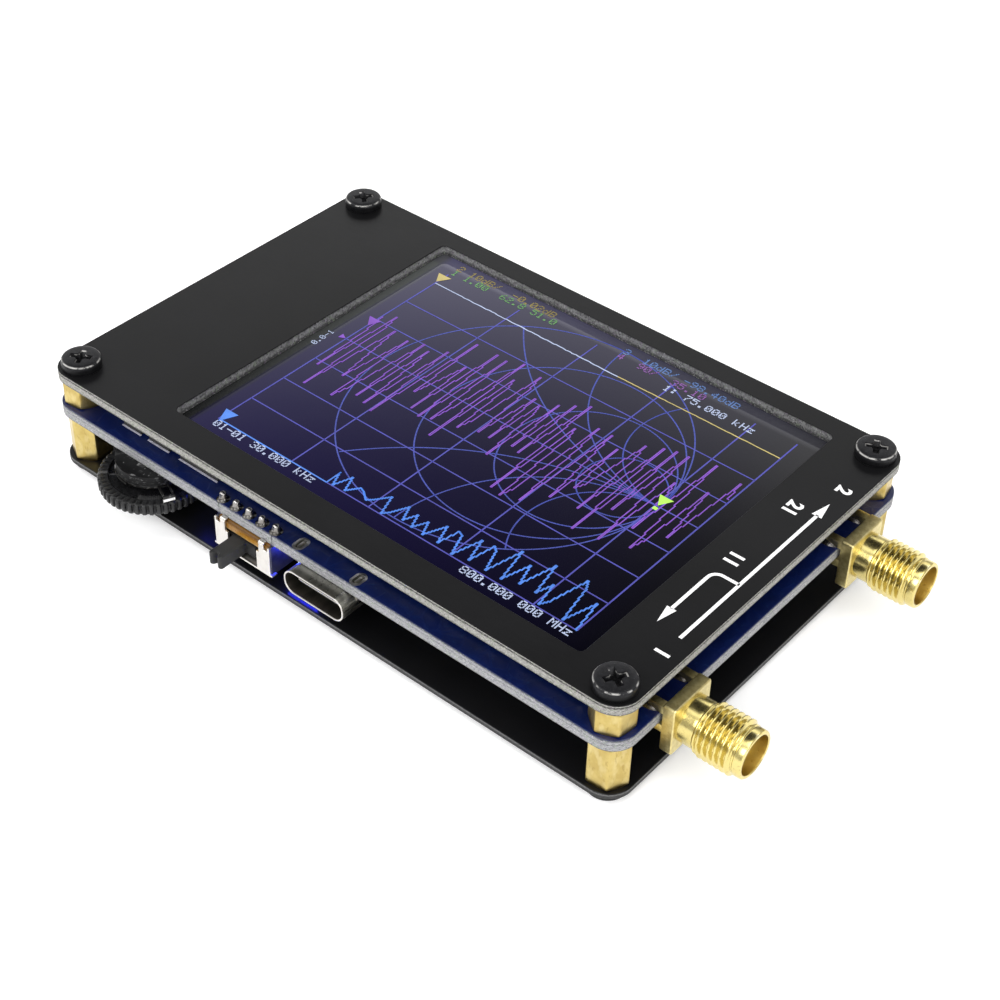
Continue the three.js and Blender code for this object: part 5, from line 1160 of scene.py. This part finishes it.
def make_switch():
    x0, front, low, plate = SWITCH_X, SWITCH_FRONT, MAIN_LOW - 4.2, MAIN_LOW - 1.4
    make_switch_case(x0, front, low, plate)

    # The terminals are riveted through the laminate
    p = Build()
    pin = lathe([(0.6, plate - 0.2), (0.7, plate - 0.12), (0.7, plate), (0.3, plate), (0.3, MAIN_TOP + 0.8),
                 (0.22, MAIN_TOP + 0.9)], 24, True, True)
    for step in (-1, 0, 1):
        p.add(pin, 0, at(x0 + step * PIN_STEP, PIN_Y, 0))
    p.make("switch_terminals", ["nickel"], "nickel", "switch_pin_1", "switch_pin_2", "switch_pin_3")

    rng = random.Random(3)
    j = Build()
    cone = ((0.8, 0.0), (0.7, 0.05), (0.56, 0.17), (0.47, 0.36), (0.42, 0.6), (0.37, 0.8), (0.28, 0.93),
            (0.14, 1.0), (0.03, 1.02))
    for dx in (-SWITCH_LEG, -PIN_STEP, 0, PIN_STEP, SWITCH_LEG):
        lean = rng.uniform(-0.08, 0.08)
        rings = [[(px + lean * z, py, z) for px, py, z in ring(r, level, 28)] for r, level in cone]
        j.add(loft(rings, False, True), 0, at(x0 + dx, PIN_Y, MAIN_TOP))
    j.make("switch_solder", ["solder"], "nickel", angle=60)

    k = Build()
    kx, level, tip, half = x0 - 1.0, low + 1.5, front - 3.3, 2.5
    k.add(box((kx - half, front + 0.6, low + 0.6), (kx + half, front + 3.8, plate - 0.5), 0.08))
    lobe = [(1.0, front + 0.9), (1.0, tip + 0.3), (0.93, tip + 0.1), (0.78, tip + 0.01), (0.6, tip),
            (0.42, tip + 0.06), (0.3, tip + 0.2), (0.18, tip + 0.48), (0.08, tip + 0.58)]
    stem = [(-x, y) for x, y in lobe] + lobe[::-1]
    k.add(remap(bar(stem, level - 0.9, level + 0.9, 0.14), lambda x, y, z: (kx + x, y, z)))
    k.make("switch_slider", ["knob"], "black_resin", "switch_knob", body="power_knob")


# Thumb wheel
def make_wheel():
    low, top = MAIN_LOW - 2.4 - 1.55, MAIN_LOW - 2.4
    ribs, radius, depth, step = 48, 6.6, 0.2, 0.4
    pitch = math.tau / ribs
    def outline(grow, z):
        pts = []
        for i in range(ribs):
            for share, r in ((-0.36, 0.0), (-0.25, 0.8), (-0.1, 1.0), (0.1, 1.0), (0.25, 0.8), (0.36, 0.0)):
                rad = radius - depth + depth * r - grow
                a = (i + share) * pitch
                pts.append((rad * math.cos(a), rad * math.sin(a), z))
        return pts
    angles = [math.atan2(y, x) for x, y, _ in outline(0, 0)]
    disc = lambda r, z: [(r * math.cos(a), r * math.sin(a), z) for a in angles]
    # Half of the section, from the axle's hole over the sunk web to the ribs; the other half mirrors it
    half = [(disc, 1.1, 0), (disc, 2.3, 0), (disc, 2.32, step), (disc, 5.25, step), (disc, 5.3, 0.08),
            (disc, 5.38, 0), (outline, 0.3, 0), (outline, 0.12, 0.08), (outline, 0, 0.28)]
    rings = [shape(r, low + d) for shape, r, d in half]
    rings += [shape(r, top - d) for shape, r, d in reversed(half)]
    notch_turn, notch_half = 0.857, 0.055
    first, last = (notch_turn - notch_half) * math.tau, (notch_turn + notch_half) * math.tau
    span = [first + (last - first) * i / 12 for i in range(13)]
    notch = [(5.2 * math.cos(a), 5.2 * math.sin(a)) for a in span]
    notch += [(4.2 * math.cos(a), 4.2 * math.sin(a)) for a in reversed(span)]
    place = at(*JOG, 0)
    wheel = cut(loft(rings + [rings[0]]), [bar(notch, low - 1, top + 1, 0.0)])
    b = Build().add(wheel, 0, place)
    b.make("wheel_ribbed", ["wheel"], "wheel_resin", "jog_wheel", body="thumb_wheel", angle=38)

    # The body: a round front with a fine stepped wall, open below for the carrier's tongue
    front = [math.pi + i * math.pi / 48 for i in range(49)]
    back = 6.4
    hull = lambda r, z: [(r, back, z), (-r, back, z)] + [(r * math.cos(a), r * math.sin(a), z) for a in front]
    z0, z1 = MAIN_LOW - 1.5, MAIN_LOW
    levels = [(4.14, z0), (4.25, z0 + 0.06), (4.3, z0 + 0.16)]
    levels += [(4.3 - 0.025 * (i % 2), z0 + 0.2 + 0.08 * i) for i in range(15)] + [(4.3, z1)]
    guide = box((-1.3, -1.6, z0 - 1), (1.3, 2.4, z1 - 0.5), 0.0)
    body = cut(loft([hull(r, z) for r, z in levels], True, True), [guide])
    Build().add(body, 0, place).make("wheel_housing", ["hub"], "black_resin", "jog_base", angle=36)


# Display tray and the CAD pieces that keep their shape
def make_tray_lip():
    """The folded foot of the display tray shows as three bright strips on the board."""
    b = Build()
    foot = [(-24.94, MAIN_TOP), (-24.92, MAIN_TOP + 0.07), (-24.74, MAIN_TOP + 0.08), (-24.7, MAIN_TOP)]
    for x0, x1 in ((-32.6, -29.4), (-28.2, -24.6), (-22.9, -16.5)):
        b.add(remap(bar(foot, x0, x1, 0.02), lambda x, y, z: (z, x, y)))
        b.add(box((x0 + 0.1, -24.72, MAIN_TOP), (x1 - 0.1, -24.2, MAIN_TOP + 0.72), 0.03), 1)
    b.make("tray_foot", ["lip", "foam"], "display_tray")


def finish_nodes():
    """CAD pieces whose own shape is right get their finish, and all but the leads softened edges."""
    plan = {
        "tray": ["lcd_frame"], "film": ["lcd_flex"], "foam": ["lcd_tape_1", "lcd_tape_2", "battery_tape"],
        "nickel": ["crystal_can"], "bracket": ["jog_bracket"], "resin": ["jog_carrier", "jog_cap"],
        "foil": ["battery"], "red": ["battery_lead_pos"], "black_wire": ["battery_lead_neg"],
        "white_resin": ["battery_plug", "battery_socket"], "steel": ["shield_can"], "lamp": ["status_led"],
        "package": ["processor_chip", "codec_chip", "clock_chip", "charger_chip", "power_coil",
                    "mixer_chip_1", "mixer_chip_2", "mixer_chip_3"],
    }
    for finish, names in plan.items():
        for name in names:
            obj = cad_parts[name]
            obj.data.materials.clear()
            obj.data.materials.append(MATERIALS[finish].mat)
            if finish not in ("red", "black_wire"):
                weld = obj.modifiers.new("weld", "WELD")
                weld.merge_threshold = 2e-6
                soft = obj.modifiers.new("soften", "BEVEL")
                soft.width, soft.segments = 0.05 * MM, 2
                soft.limit_method, soft.angle_limit = "ANGLE", math.radians(35)


# Stage and light
def make_floor():
    mesh = bpy.data.meshes.new("floor")
    s, z = 3.0, CAD_LOW.z - 0.00006
    mesh.from_pydata([(-s, -s, z), (s, -s, z), (s, s, z), (-s, s, z)], [], [(0, 1, 2, 3)])
    floor = new_object("floor", mesh)
    f = Finish("floor_paper", (0.86, 0.86, 0.86), 0.8)
    f.cloud((0.004, 2), 0.4, 0.7, (0.84, 0.84, 0.845), 0.5)
    f.skin((0.5, 2), 0.7, 0.9, (1.0, 2), 0.01, 0.3)
    f.glow((1.0, 1.0, 1.0), 0.3)
    mesh.materials.append(f.mat)


def make_world():
    """A dark ceiling patch behind the camera's mirror direction, with a bright ring about it."""
    world = bpy.data.worlds.new("studio")
    bpy.context.scene.world = world
    world.use_nodes = True
    nodes, links = world.node_tree.nodes, world.node_tree.links
    back = nodes["Background"]
    coord = nodes.new("ShaderNodeTexCoord")
    dot = nodes.new("ShaderNodeVectorMath")
    dot.operation = "DOT_PRODUCT"
    dot.inputs[1].default_value = (-0.331, 0.301, 0.894)
    links.new(coord.outputs["Generated"], dot.inputs[0])
    ramp = nodes.new("ShaderNodeValToRGB")
    stops = [(0.0, 0.3), (0.66, 0.3), (0.76, 0.85), (0.86, 0.9), (0.877, 0.52), (0.899, 0.2), (0.911, 0.09),
             (0.925, 0.038), (0.938, 0.012), (1.0, 0.01)]
    marks = ramp.color_ramp.elements
    marks[0].position, marks[1].position = stops[0][0], stops[-1][0]
    marks[0].color, marks[1].color = (stops[0][1],) * 3 + (1,), (stops[-1][1],) * 3 + (1,)
    for position, level in stops[1:-1]:
        marks.new(position).color = (level, level, level, 1)
    links.new(dot.outputs["Value"], ramp.inputs["Fac"])
    links.new(ramp.outputs["Color"], back.inputs["Color"])
    back.inputs["Strength"].default_value = 2.1


def light(name, kind, place, power, colour=(1, 1, 1), **settings):
    data = bpy.data.lights.new(name, kind)
    data.energy, data.color = power, colour
    for key, value in settings.items():
        setattr(data, key, value)
    lamp = new_object(name, data)
    lamp.location = place
    return lamp


def make_lights():
    for name, place, size, power in (
        ("key_front", (0.1, -0.9, 0.75), (0.8, 0.5), 6.5),
        ("key_right", (0.95, -0.15, 0.55), (0.5, 0.7), 4.5),
        ("fill_left", (-0.8, -0.5, 0.6), (0.5, 0.5), 3.0),
        ("top", (0.15, -0.2, 1.2), (0.6, 0.6), 2.0),
    ):
        lamp = light(name, "AREA", place, power, shape="RECTANGLE", size=size[0], size_y=size[1])
        lamp.rotation_mode = "QUATERNION"
        lamp.rotation_quaternion = (-Vector(place)).to_track_quat("-Z", "Y")

    # The status light's glow, on the socket and switch, by the wheel and on the bottom cover
    for name, place, power, radius in (("glow_lamp", (-3.9, -25.2, 5.9), 0.0008, 0.5),
                                       ("glow_wheel", (-20.6, -23.5, 5.7), 0.0003, 1.0)):
        light(name, "POINT", Vector(place) * MM, power, (0.03, 0.05, 1.0), shadow_soft_size=radius * MM)
    light("glow_strip", "AREA", Vector((-1.9, -26.3, 1.35)) * MM, 0.00022, (0.03, 0.04, 1.0),
          shape="RECTANGLE", size=4.6 * MM, size_y=0.16 * MM)


place_camera()
MATERIALS = make_materials()
make_boards()
make_fasteners()
make_standoffs()
make_screen()
make_tray_lip()
make_print()
make_ports()
make_usb()
make_chips()
make_switch()
make_wheel()
finish_nodes()
make_floor()
make_world()
make_lights()
bpy.context.scene.view_settings.view_transform = "Standard"
